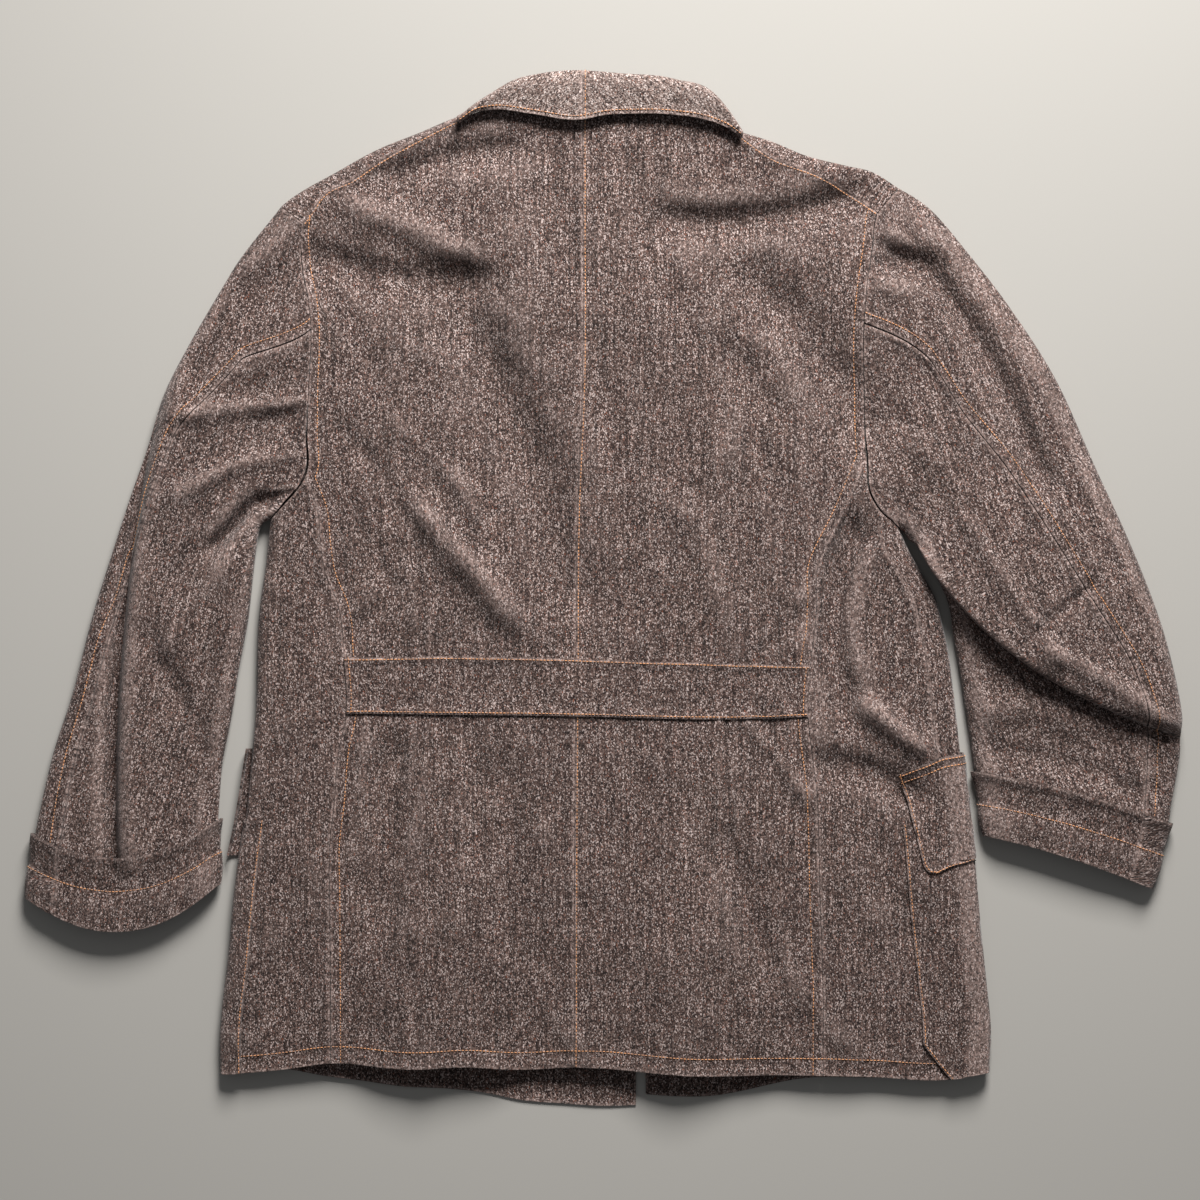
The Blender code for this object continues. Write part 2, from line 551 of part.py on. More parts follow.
def section_point(table, side, station, share, upper, sleeve_folds):
    """Points across a sleeve at a station, a share of the way from its outer to its inner edge."""
    stations = np.arange(len(table.rows))

    def at(name):
        return smooth(stations, column(table, name), station)

    outer = np.stack([at("outer_x"), at("outer_y")], axis=-1)
    inner = np.stack([at("inner_x"), at("inner_y")], axis=-1)
    width = np.linalg.norm(inner - outer, axis=-1)
    near = np.minimum(share, 1 - share) * width
    swing = np.clip(near / SLEEVE_REACH, 0, 1)
    inset = np.where(near < SLEEVE_REACH, SLEEVE_REACH * (1 - np.cos(swing * math.pi / 2)), near)
    run = np.where(share < 0.5, inset, width - inset) / width
    across = (inner - outer) / width[..., None]
    onward = np.stack([-across[..., 1], across[..., 0]], axis=-1) * side.sign
    plan = mix(outer, inner, run[..., None]) + onward * (at("bow") * 4 * run * (1 - run))[..., None]
    cuff_start = len(table.rows) - 1 - CUFF_SECTIONS
    base = FLOOR_MIDDLE + LAYER * ease(station - cuff_start + 1)
    crown = at("height") * (1 - SLEEVE_CROWN + SLEEVE_CROWN * np.sin(math.pi * share))
    top = crown + folds(sleeve_folds, plan[..., 0], plan[..., 1])
    middle = (crown + base) / 2
    z = np.where(upper, middle + (top - middle) * np.sin(swing * math.pi / 2),
                 middle - (middle - base) * np.sin(swing * math.pi / 2))
    return np.concatenate([plan, z[..., None]], axis=-1)


def sleeve_grid(side, table, sleeve_folds, stations):
    """A sleeve's grids above and below at each station, each with the place of its seam."""
    top, bottom = armhole_chains(side)
    grids = []
    for chain, upper in ((top, True), (bottom, False)):
        tangent = np.gradient(chain[:, :2], axis=0)
        tangent = tangent / np.linalg.norm(tangent, axis=1, keepdims=True)
        outward = np.stack([tangent[:, 1], -tangent[:, 0]], axis=1) * -side.sign
        rim = chain.copy()
        start = shares_along(chain)
        rim[:, :2] += outward * mix(SEAM_GAP, UNDERARM_GAP, ease((start - 0.6) / 0.2))[:, None]
        if upper:
            seam = int(np.argmin(abs(start - table.rows[0][6])))
        else:
            seam = int(np.argmin(abs(start - FRONT_SEAM)))
        first = start[seam]
        moving = np.full(len(stations), FRONT_SEAM)
        if upper:
            moving = smooth(np.arange(len(table.rows)), column(table, "back_seam"), stations)
        settle = ease(stations / ARMHOLE_BLEND)
        moving = mix(first, moving, settle)[:, None]
        share = np.where(start[None, :] <= first, start[None, :] * moving / first,
                         moving + (start[None, :] - first) * (1 - moving) / (1 - first))
        grid = section_point(table, side, stations[:, None] + 0 * share, share, upper, sleeve_folds)
        zero = section_point(table, side, 0 * share[:1], start[None, :], upper, sleeve_folds)
        grid = grid + (rim[None] - zero) * (1 - settle)[:, None, None]
        grids.append((grid, seam))
    return grids


def sleeve_pieces(side, table, sleeve_folds, stations):
    """The grids of the top sleeve, the under sleeve and the whole ring at the given stations."""
    (above, back), (below, front) = sleeve_grid(side, table, sleeve_folds, stations)
    outer = np.concatenate([above[:, back::-1], below[:, 1:front + 1]], axis=1)
    inner = np.concatenate([above[:, back:], below[:, -2:front - 1:-1]], axis=1)
    ring = np.concatenate([above[:, back:], below[:, -2::-1], above[:, 1:back + 1]], axis=1)
    return outer, inner, ring


def collar_half(side):
    """The grid of one half of the collar, from the centre back to the neck, with a point at each of the back's."""
    edge = back_panel(side)[-1]
    steps = np.linspace(0, NECK_STEPS, 2 * NECK_STEPS + 1)
    steps[-1] -= COLLAR_SHORT
    x = np.interp(steps, range(len(edge)), edge[:, 0])
    neck = np.interp(steps, range(len(edge)), edge[:, 1]) + COLLAR_GAP
    fold, edge = read(COLLAR_TOP, "x", "y", x), read(COLLAR_EDGE, "x", "y", x)
    fold = np.maximum(fold, neck + LEAST_STAND)
    under = body_height(x, neck, FLOOR_MIDDLE)
    rows = []
    for past, run, rise in COLLAR_SECTION.rows:
        y = mix(fold, edge, run) if past else mix(neck, fold, run)
        rows.append(np.stack([x, y, under + rise], axis=-1))
    return np.array(rows)


def build_body(pieces, materials):
    """Back, side and front panels, with the belt, pockets and flaps that lie on them."""
    belt = []
    for side in SIDES:
        back = back_panel(side)
        pieces(f"back_{side.name}", back, materials["twill"])
        pieces(f"side_{side.name}", side_panel(side), materials["twill"])
        front, keep = front_panel(side)
        pieces(f"front_{side.name}", front, materials["twill"], keep)
        strip = moved_out(back, np.full(back.shape[:2], LAYER), (2, 2))[HEM_STEPS:HEM_STEPS + BELT_STEPS + 1]
        belt.append(strip[:, ::-1] if side.sign < 0 else strip[:, 1:])
        build_pocket(side, pieces, materials)
    pieces("back_belt", np.concatenate(belt, axis=1), materials["twill"])


def build_pocket(side, pieces, materials):
    """The patch pocket and its flap, moved out from the panels that they lie on."""
    around = np.concatenate([side_lanes(side)[0], front_lanes(side)[1:]])
    edge = POCKET_EDGE_LANES[side.name]
    around = around[(around > edge - BESIDE_POCKET) & (around < POCKET_LANE + BESIDE_POCKET)]
    rows = LOW_ROWS[:HEM_STEPS + 2]
    points = body(side, around[None, :], rows[:, None], layers_under(around, rows) * LAYER)
    start = int(np.argmin(abs(around - edge)))
    end = int(np.argmin(abs(around - POCKET_LANE)))
    out = moved_out(points, np.full(points.shape[:2], LAYER), (2, 0))
    pocket = out[:POCKET_TOP_ROW + 1, start:end + 1].copy()
    if side.sign > 0:
        pocket[0, 0] = mix(pocket[0, 0], pocket[0, 1], MITRE)
    pieces(f"pocket_{side.name}", pocket, materials["twill"])
    lift = np.full(points.shape[:2], 2 * LAYER)
    lift[POCKET_TOP_ROW + 1:] = LAYER
    flap = moved_out(points, lift, (2, 0))[FLAP_ROWS[0]:FLAP_ROWS[1] + 1]
    if side.sign > 0:
        pieces(f"flap_{side.name}", flap[:, start:end + 1], materials["twill"])
        return
    flat = flap[:, np.argmin(abs(around - 2.0)):end + 1]
    fold = read(side.fold, "y", "x", flat[:, 0, 1])
    out_by = column(FLAP_OUT, "out")
    lip = flat[:, :1].copy()
    lip[:, 0, 0] = fold - out_by
    lip[:, 0, 2] = FLOOR_MIDDLE + FLAP_LIP
    half = mix(lip, flat[:, :1], 0.5)
    half[:, 0, 2] = FLOOR_MIDDLE
    tip = lip.copy()
    tip[:, 0, 0] -= FLAP_LEAN
    tip[:, 0, 2] = FLOOR_MIDDLE + FLAP_TURN_UP
    pieces("flap_left", np.concatenate([tip, lip, half, flat], axis=1), materials["twill"])


def build_sleeves(pieces, materials):
    """Two-piece sleeves and their turned-back cuffs."""
    plans = ((SIDES[0], LEFT_SLEEVE, LEFT_SLEEVE_FOLDS), (SIDES[1], RIGHT_SLEEVE, RIGHT_SLEEVE_FOLDS))
    for side, table, sleeve_folds in plans:
        cuff_start = len(table.rows) - 1 - CUFF_SECTIONS
        whole = [0, 0.5, 1, 1.5, *range(2, cuff_start + 1)]
        cuff = rows_to((cuff_start, len(table.rows) - 1, CUFF_STEPS))
        stations = np.array([*whole, *cuff[1:-1], cuff[-1] - SLEEVE_SHORT])
        outer, inner, _ = sleeve_pieces(side, table, sleeve_folds, stations)
        for grid in (outer, inner):
            gap_column(grid, 0, 1, SLEEVE_SEAM_GAP)
            gap_column(grid, -1, -2, SLEEVE_SEAM_GAP)
        pieces(f"top_sleeve_{side.name}", outer, materials["twill"])
        pieces(f"under_sleeve_{side.name}", inner, materials["twill"])
        ring = sleeve_pieces(side, table, sleeve_folds, np.array([cuff_start - 1, *cuff]))[2]
        band = moved_out(ring, np.full(ring.shape[:2], LAYER), (1, 3))[1:]
        gap_column(band, 0, 1)
        gap_column(band, -1, -2)
        pieces(f"cuff_{side.name}", band, materials["twill_lined"])


def main():
    """Clears the scene and builds every piece."""
    for old in list(bpy.data.objects):
        bpy.data.objects.remove(old, do_unlink=True)
    collection = bpy.data.collections.new("work_jacket")
    bpy.context.scene.collection.children.link(collection)
    materials = {name: cloth_material(name) for name in COLOURS}

    def pieces(name, points, material, keep=None):
        return cloth_piece(name, points, material, collection, keep)

    build_body(pieces, materials)
    build_sleeves(pieces, materials)
    for side in SIDES:
        pieces(f"collar_{side.name}", collar_half(side), materials["twill_bias"])


main()
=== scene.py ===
"""The looks of a work jacket in flecked covert twill, laid flat with its back up and its fronts open.

Every sewn piece is a fine grid of points, moved onto the same form as its solid and given its folds, seams
and stitches. Tables are in millimetres. +X runs to the wearer's right sleeve, +Y to the collar and +Z up.
"""

import logging
import math
from collections.abc import Sequence
from dataclasses import dataclass, field, replace
from enum import Enum

import bpy
import numpy as np
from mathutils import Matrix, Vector


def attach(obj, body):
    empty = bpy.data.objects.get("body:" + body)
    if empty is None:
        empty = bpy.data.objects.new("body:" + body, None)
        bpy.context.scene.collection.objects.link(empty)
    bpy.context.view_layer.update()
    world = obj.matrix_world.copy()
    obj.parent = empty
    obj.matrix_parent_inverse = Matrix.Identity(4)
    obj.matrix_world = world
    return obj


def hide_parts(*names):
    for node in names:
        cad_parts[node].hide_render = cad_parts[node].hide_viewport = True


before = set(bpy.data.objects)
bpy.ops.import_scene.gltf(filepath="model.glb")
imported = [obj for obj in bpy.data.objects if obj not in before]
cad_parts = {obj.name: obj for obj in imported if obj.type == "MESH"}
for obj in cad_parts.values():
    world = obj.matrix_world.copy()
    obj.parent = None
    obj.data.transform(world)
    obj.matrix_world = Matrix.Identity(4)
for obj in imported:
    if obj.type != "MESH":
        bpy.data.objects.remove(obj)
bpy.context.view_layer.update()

LOG = logging.getLogger("work_jacket")
Pairs = Sequence[tuple[float, float]]
Array = np.ndarray
Triple = tuple[float, float, float]
Colour = Triple
Socket = bpy.types.NodeSocket

MM = 0.001
CLOTH = 1.5
SEAM_GAP = 0.3
LAYER = CLOTH + SEAM_GAP
FLOOR_MIDDLE = CLOTH / 2
LEAST_CLEAR = LAYER + 0.4
SINK = 0.8
FAR = 1e3
LEAST_FILL = 0.31
FREE_EDGE_ROLL = 0.3
SMOOTH_ANGLE = math.radians(60)
DATUM = np.array([0.125, 0.732, 0.0])

# Lanes and rows of the body's lattice, as in the solids.
FOOT_LANE = 2.35
POCKET_LANE = 2.35 + 0.35 * 2 / 3
NECK_LANE = 2.7
FRONT_LANE = 3.0
FOLD_REACH = 12.0
SIDE_SHARE = 0.8
SETTLING = 40
FOOT_SAMPLES = 60

CENTRE_BACK: Pairs = [(-361, -21.7), (-158, -21), (-50, -20.2), (69, -18.7), (145, -15.7), (354, -15)]
BACK_HEM: Pairs = [
    (-291, -368), (-244, -364), (-205, -359), (-151, -362.5), (-105, -361), (-62, -364), (-22, -362),
    (31, -365), (77, -368), (135, -368), (205, -369.5), (262, -371.5), (280, -369), (294, -366)]
BELT_BOTTOM: Pairs = [(-195, -93), (-100, -94), (0, -95.5), (80, -97.5), (160, -95.5)]
BELT_TOP: Pairs = [(-195, -51), (-100, -50), (0, -52.5), (100, -55.5), (160, -57)]
BACK_TOP: Pairs = [
    (-227, 279), (-211, 300), (-190, 311), (-169, 326), (-140, 342), (-110, 357), (-93, 364), (-55, 365),
    (-15, 364), (40, 364), (80, 363), (106, 344), (124, 331), (165, 314.5), (187, 303), (208.5, 287)]
SHOULDER_FOLD: Pairs = [
    (-244, 292), (-239, 296), (-202, 318), (-169, 336), (-140, 347.5), (-110, 360), (106, 348), (129, 341),
    (153, 331), (186, 322.5), (205, 318), (224.5, 306)]
FRONT_NECK: Pairs = [
    (-110, 357), (-80, 336), (-30, 322), (26, 318), (33, 318), (60, 322), (95, 336), (106, 344)]
BODY_HEIGHT: Pairs = [
    (-372, 7.5), (-300, 8.5), (-95, 9), (-50, 9), (60, 10.5), (200, 12.5), (300, 11.5), (370, 10.5)]


def smooth(xs: Array, ys: Array, at: Array) -> Array:
    """Reads a cubic through points, held level past its ends.

    Args:
        xs: rising places of the points.
        ys: their values.
        at: the places to read.

    Returns:
        The values there.
    """
    xs, ys = np.asarray(xs, float), np.asarray(ys, float)
    at = np.clip(np.asarray(at, float), xs[0], xs[-1])
    slopes = np.gradient(ys, xs)
    i = np.clip(np.searchsorted(xs, at, side="right") - 1, 0, len(xs) - 2)
    step = xs[i + 1] - xs[i]
    t = (at - xs[i]) / step
    return (ys[i] * (1 + 2 * t) * (1 - t) ** 2 + ys[i + 1] * t * t * (3 - 2 * t)
            + step * (slopes[i] * t * (1 - t) ** 2 - slopes[i + 1] * t * t * (1 - t)))


def read(pairs: Pairs, at: Array) -> Array:
    """Reads a table of (place, value) pairs as a smooth curve."""
    table = np.asarray(pairs, float)
    return smooth(table[:, 0], table[:, 1], at)


def ease(t: Array) -> Array:
    """Rises from 0 to 1 between 0 and 1, level beyond."""
    t = np.clip(t, 0.0, 1.0)
    return t * t * (3 - 2 * t)


def mix(a: Array, b: Array, t: Array) -> Array:
    """Goes from a where t is 0 to b where t is 1."""
    return a + (b - a) * t


def spaced(start: float, end: float, length: float, pitch: float) -> Array:
    """Even values from start to end, a pitch in millimetres apart over a length in millimetres."""
    return np.linspace(start, end, max(2, round(length / pitch) + 1))


def stages(*parts: tuple[float, float, float, float]) -> Array:
    """Joins runs of even values, each given as (start, end, length, pitch)."""
    runs = [spaced(*part) for part in parts]
    return np.concatenate([runs[0], *[run[1:] for run in runs[1:]]])


@dataclass(frozen=True)
class Fold:
    """One soft fold in plan: a ridge where height is above zero, a trough where it is below."""

    x0: float
    y0: float
    x1: float
    y1: float
    bow: float
    left: float
    right: float
    height: float

    def lift(self, x: Array, y: Array) -> Array:
        """The height that the fold adds at each place."""
        length = math.hypot(self.x1 - self.x0, self.y1 - self.y0)
        along = ((x - self.x0) * (self.x1 - self.x0) + (y - self.y0) * (self.y1 - self.y0)) / length ** 2
        aside = ((self.x1 - self.x0) * (y - self.y0) - (self.y1 - self.y0) * (x - self.x0)) / length
        inside = np.clip(along, 0, 1)
        aside = aside - self.bow * 4 * inside * (1 - inside)
        beyond = (along - inside) * length
        width = np.where(aside > 0, self.left, self.right)
        return self.height * np.exp(-(aside / width) ** 2 - (beyond / (self.left + self.right)) ** 2)


def lifted(folds: Sequence[Fold], x: Array, y: Array) -> Array:
    """The sum of several folds at each place."""
    total = np.zeros(np.broadcast(x, y).shape)
    for fold in folds:
        total = total + fold.lift(x, y)
    return total


def ripples(x: Array, y: Array, size: float, height: float, seed: int) -> Array:
    """Soft uneven waves, the same on every run.

    Args:
        x: places across, in millimetres.
        y: places along.
        size: the usual length of a wave.
        height: the usual height of one.
        seed: which pattern of waves it is.

    Returns:
        Heights in millimetres.
    """
    draw = np.random.default_rng(seed)
    total = np.zeros(np.broadcast(x, y).shape)
    count = 9
    for _ in range(count):
        turn = draw.uniform(0, math.tau)
        rate = math.tau / (size * draw.uniform(0.6, 1.7))
        phase = draw.uniform(0, math.tau)
        bend = draw.uniform(0, math.tau)
        run = (x * math.cos(turn) + y * math.sin(turn)) * rate
        weave = np.sin((x * math.cos(turn + 2) + y * math.sin(turn + 2)) * rate * 0.45 + bend)
        total = total + np.sin(run + phase + 1.6 * weave)
    return total * height / math.sqrt(count)


BODY_FOLDS = [Fold(*row) for row in (
    (-177, 286, -112, 258, 4, 14, 13, 2.8),
    (-207, 250, -108, 240, -8, 15, 20, -3.4),
    (-154, 316, -78, 335, 4, 10, 12, -3.0),
    (-104, 205, -36, 20, 12, 22, 20, -4.3),
    (-131, 54, -78, -7, 0, 12, 14, 3.6),
    (-63, 260, -60, 190, 0, 26, 26, 2.6),
    (66, 282, 180, 297, -6, 12, 16, -4.2),
    (120, 226, 194, 132, 8, 22, 19, -4.2),
    (108, 168, 120, 148, 0, 14, 14, -2.6),
    (206, -92, 232, -112, 0, 9, 9, 3.6),
    (184, -136, 226, -151, 3, 12, 12, -3.6),
    (101, -212, 120, -273, 3, 14, 14, -2.6),
    (-158, -129, -165, -235, 3, 12, 12, -2.8),
    (190, 38, 187, -80, -13, 10, 14, -4.4),
    (-131, -366, -124, -270, 0, 46, 46, 4.2),
    (60, -368, 66, -285, 0, 40, 40, 4.0),
)]
FINE_BODY_FOLDS = [Fold(*row) for row in (
    (-205, 225, -170, 150, 6, 7, 9, -1.3),
    (-196, 120, -150, 60, 4, 7, 10, -1.5),
    (-188, 62, -160, 5, -3, 6, 8, -1.2),
    (-150, 120, -96, 60, 5, 9, 9, 1.4),
    (-40, 330, -20, 250, 3, 10, 12, -1.0),
    (30, 300, 60, 215, -5, 12, 12, -1.2),
    (120, 110, 150, 20, 5, 10, 10, -1.4),
    (60, 60, 95, -20, 4, 10, 12, 1.2),
    (150, 60, 152, -30, 2, 7, 7, 1.1),
    (-100, -110, -92, -200, 4, 8, 10, -1.2),
    (-60, -105, -45, -180, -3, 10, 12, 0.9),
    (20, -110, 34, -220, 4, 9, 11, -1.0),
    (130, -110, 150, -180, -4, 8, 10, -1.3),
    (-180, -110, -190, -190, 0, 7, 8, 1.0),
    (215, -200, 240, -300, 3, 9, 9, -1.3),
    (-240, -180, -232, -300, 2, 9, 9, -1.1),
    (-60, -300, -20, -345, 2, 12, 10, 1.1),
    (150, -300, 190, -345, -3, 12, 10, 1.2),
    (94, -186, 130, -284, -5, 6, 10, -1.1),
    (-67, -150, -62, -330, 4, 18, 18, -1.6),
    (6, 150, 14, 60, 3, 16, 18, -1.4),
    (110, -100, 150, -150, 0, 7, 6, 1.3),
    (-118, 120, -96, 20, 3, 12, 12, 1.5),
    (96, 105, 84, 10, -3, 16, 16, 1.6),
    (-195, -40, -170, -12, 2, 5, 6, -1.3),
    (120, -46, 152, -14, -2, 5, 6, -1.3),
)]
NARROWEST_WAVE = 46.0
WAVE_HEIGHT = 0.55
# The looks show the main folds deeper than the solids do, on a body raised to make room for them.
BODY_DEPTH = 2.25
FINE_DEPTH = 1.7
BODY_RAISED = 2.6
SLEEVE_DEPTH = 1.85


def body_height(x: Array, y: Array, under: Array) -> Array:
    """The middle of the upper cloth, which never sinks into the cloth under it."""
    height = read(BODY_HEIGHT, y) + BODY_RAISED
    height = height + BODY_DEPTH * lifted(BODY_FOLDS, x, y) + FINE_DEPTH * lifted(FINE_BODY_FOLDS, x, y)
    height = height + ripples(x, y, NARROWEST_WAVE, WAVE_HEIGHT, 3)
    least = under + LEAST_CLEAR
    return least + np.log1p(np.exp((height - least) / SINK)) * SINK


@dataclass(frozen=True)
class HalfBody:
    """One half of the jacket's body, as lanes across and rows along it.

    A lane runs from the centre back (0) to the side-back seam (1), the underarm seam (2), the foot of the
    armhole and the front edge (3). A row runs from the hem (0) to the belt (1 to 2), the foot of the armhole
    (3), the shoulder or neck (4), the shoulder's fold (5) and the shoulder seam again (6).
    """

    name: str
    sign: int
    fold: Pairs
    seam: Pairs
    armhole: Pairs
    split: float
    neck_share: float
    tip_shift: float
    lanes: Pairs
    front_edge: float
    front_hem: Pairs

    def lane_share(self, lane: Array) -> Array:
        """A front lane's share of the way from the centre back to the armhole."""
        return 1 - (lane - FOOT_LANE) / (NECK_LANE - FOOT_LANE) * (1 - self.neck_share)

    def place(self, lane: Array, y: Array) -> tuple[Array, Array]:
        """Finds where a lane lies at a height on the plan.

        Args:
            lane: lanes of the points.
            y: their heights on the plan.

        Returns:
            Their x, and their signed reach from the side's fold.
        """
        centre, fold, armhole = read(CENTRE_BACK, y), read(self.fold, y), read(self.armhole, y)
        seam = np.where(y < self.split, read(self.seam, y), armhole)
        back = mix(centre, seam, lane)
        seam_reach = (fold - seam) * self.sign
        knots = np.array(self.lanes, float)
        first = knots[0, 0]
        reach = np.interp(lane, knots[:, 0], knots[:, 1])
        narrow = np.minimum(1, seam_reach * SIDE_SHARE / knots[0, 1])
        reach = np.where(reach > 0, reach * narrow, reach)
        opening = mix(seam_reach, reach, np.clip((lane - 1) / (first - 1), 0, 1))
        reach = np.where(lane < first, opening, reach)
        rounded = FOLD_REACH * (1 - np.cos(reach / FOLD_REACH * math.pi / 2))
        inset = np.where(np.abs(reach) < FOLD_REACH, rounded, np.abs(reach))
        low = fold - self.sign * inset
        past_pocket = (lane - POCKET_LANE) / (FRONT_LANE - POCKET_LANE)
        low = np.where(lane > POCKET_LANE, mix(low, self.front_edge, past_pocket), low)
        above = read(self.armhole, np.maximum(y, self.split))
        shoulder = mix(centre, above, self.lane_share(lane))
        neck = mix(centre, above, self.neck_share)
        past_neck = (lane - NECK_LANE) / (FRONT_LANE - NECK_LANE)
        high = np.where(lane > NECK_LANE, mix(neck, self.front_edge, past_neck), shoulder)
        waist = BELT_TOP[0][1]
        rise = ease((y - waist) / (self.split - waist))
        under = np.where(lane >= FOOT_LANE, mix(low, high, rise), low)
        return np.where(lane <= 1, back, under), np.where(lane <= 1, FAR, reach)

    def foot(self, lane: Array) -> Array:
        """The height on the plan at which each lane of a list meets the armhole."""
        y = np.linspace(self.armhole[0][0], self.split, FOOT_SAMPLES)
        out = self.sign * (self.place(lane[:, None], y[None, :])[0] - read(self.armhole, y))
        after = np.clip(np.argmax(out > 0, axis=1), 1, None)
        lanes = np.arange(lane.size)
        low, high = out[lanes, after - 1], out[lanes, after]
        share = np.clip(-low / np.where(high > low, high - low, 1), 0, 1)
        found = mix(y[after - 1], y[after], share)
        return np.where((lane > 1) & (lane < FOOT_LANE), found, self.split)

    def points(self, lane: Array, row: Array, lift: Array | float = 0.0) -> Array:
        """Points of the half body.

        Args:
            lane: lanes of the points.
            row: their rows.
            lift: how far the lower cloth is raised by what lies under it.

        Returns:
            Their places, in millimetres.
        """
        lane, row, lift = np.broadcast_arrays(*(np.asarray(v, float) for v in (lane, row, lift)))
        lanes, back_to = np.unique(lane, return_inverse=True)
        foot = self.foot(lanes)[back_to].reshape(lane.shape)
        front = lane > 2
        y = mix(BACK_HEM[0][1], self.split, np.clip(row / 3, 0, 1))
        for _ in range(SETTLING):
            x, reach = self.place(lane, y)
            hem = np.where(front, read(self.front_hem, x), read(BACK_HEM, x))
            bottom, top = read(BELT_BOTTOM, x), read(BELT_TOP, x)
            head = np.where(lane > NECK_LANE, read(FRONT_NECK, x), read(BACK_TOP, x))
            aim = np.select(
                [row <= 1, row <= 2, row <= 3],
                [mix(hem, bottom, row), mix(bottom, top, row - 1), mix(top, foot, row - 2)],
                mix(self.split, head, np.clip(row - 3, 0, 1)))
            y = mix(y, aim, 0.5)
        share = np.where(lane <= 1, lane, self.lane_share(lane))
        tip_x = x + self.tip_shift * ease((share - 0.6) / 0.4)
        tip_y = read(SHOULDER_FOLD, tip_x)
        turn = np.clip(row - 5, -1, 1)
        over = row > 4
        x = np.where(over, mix(tip_x, x, 1 - np.cos(turn * math.pi / 2)), x)
        y = np.where(over, mix(tip_y, y, 1 - np.cos(turn * math.pi / 2)), y)
        swing = np.where(over, turn, np.clip(reach / FOLD_REACH, -1, 1))
        swing = np.where(~over & (lane >= FOOT_LANE), -1.0, swing)
        base = FLOOR_MIDDLE + lift
        upper = body_height(x, y, base)
        middle = (upper + base) / 2
        z = middle + (upper - middle) * np.sin(swing * math.pi / 2)
        return np.stack([x, y, z], axis=-1)

    def layers(self, lane: Array, row: Array) -> Array:
        """How many walls of pocket and flap lie under the front and side at each place."""
        pocket = np.interp(row, [0.7, 0.8], [1, 0])
        flap = np.interp(row, [0.4, 0.5, 0.9, 1.0], [0, 1, 1, 0])
        held = np.interp(lane, [1.0, 1.1, POCKET_LANE, NECK_LANE], [0, 1, 1, 0])
        return held * (pocket + flap)


LEFT_BODY = HalfBody(
    name="left", sign=-1,
    fold=[(-368, -288.5), (-335, -288.5), (-278, -282.5), (-221, -277), (-173, -270.5), (-131, -266.5),
          (-83, -262.7), (-49, -262), (-15, -260.4), (20, -255.5), (54, -252)],
    seam=[(-347, -206.5), (-240, -207), (-189, -207), (-164, -204), (-120, -200), (-97, -195), (-49, -196.5),
          (-7, -202), (12, -210), (35, -214), (63, -217), (86, -225.8)],
    armhole=[(54, -252), (66, -241), (78, -230.5), (86, -225.8), (120, -224), (150, -223), (195, -221),
             (220, -223), (245, -228), (268, -229), (279, -227), (286, -234), (292, -244)],
    split=86.0, neck_share=0.415, tip_shift=-17.0,
    lanes=[(1.3, 14), (1.8, -12), (2.0, -20), (FOOT_LANE, -26), (POCKET_LANE, -118)],
    front_edge=25.4,
    front_hem=[(-291, -367), (-241, -364.5), (-213, -369.5), (-182, -373.5), (-151, -378), (-120, -379.5),
               (-89, -383), (-62, -388.5), (-31, -391), (0, -393), (25.4, -392.3)])
RIGHT_BODY = HalfBody(
    name="right", sign=1,
    fold=[(-366, 292), (-337, 293.3), (-296, 289.5), (-252, 285), (-198, 280), (-169, 276.5), (-138, 273),
          (-115, 270.5), (-79, 266.8), (-41, 261.5), (-24, 257.5), (-4, 252), (12, 243), (23, 236.5),
          (35, 230), (48.5, 224.5)],
    seam=[(-354, 167.5), (-310, 167.5), (-233, 165), (-148, 162), (-123, 159), (-97, 156), (-50, 158.5),
          (-19, 162), (23, 164.5), (42, 172.8), (69, 186.5), (103, 200.2)],
    armhole=[(48.5, 224.5), (59, 212), (70, 204.5), (103, 200.2), (146, 199.4), (197, 198), (229, 200.2),
             (263, 204.7), (280, 206.5), (287, 208.5), (298, 216), (306, 224.5)],
    split=103.0, neck_share=0.505, tip_shift=16.0,
    lanes=[(1.4, 50), (2.0, 18), (2.08, 12), (2.24, -12), (FOOT_LANE, -24.3), (POCKET_LANE, -118)],
    front_edge=33.0,
    front_hem=[(33, -384), (54, -385.5), (85, -385), (108, -381), (121, -378), (150, -372), (205, -371),
               (262, -371), (294, -366)])
BODIES = (LEFT_BODY, RIGHT_BODY)


class Edge(Enum):
    """The four edges of a piece's grid."""

    START = "first column"
    END = "last column"
    BOTTOM = "first row"
    TOP = "last row"


def grid_normals(points: Array) -> Array:
    """Unit normals of a grid of points, each the mean of the squares round it."""
    square = np.cross(points[1:, 1:] - points[:-1, :-1], points[1:, :-1] - points[:-1, 1:])
    square = square / np.maximum(np.linalg.norm(square, axis=-1, keepdims=True), 1e-9)
    normal = np.zeros(points.shape)
    rows, columns = square.shape[:2]
    for i in (0, 1):
        for j in (0, 1):
            normal[i:i + rows, j:j + columns] += square
    return normal / np.maximum(np.linalg.norm(normal, axis=-1, keepdims=True), 1e-9)


def moved_out(points: Array, distance: Array | float, upward: tuple[int, int]) -> Array:
    """Moves a grid along its normals.

    Args:
        points: the grid.
        distance: how far each point moves.
        upward: a place in the grid whose normal has to point up.

    Returns:
        The moved grid.
    """
    normal = grid_normals(points)
    facing = 1.0 if normal[upward][2] > 0 else -1.0
    distance = np.broadcast_to(np.asarray(distance, float), points.shape[:2])
    return points + normal * facing * distance[..., None]


def run_along(points: Array) -> Array:
    """The length run along the first axis of a grid."""
    steps = np.linalg.norm(np.diff(points, axis=0), axis=-1)
    return np.concatenate([np.zeros((1, points.shape[1])), np.cumsum(steps, axis=0)])


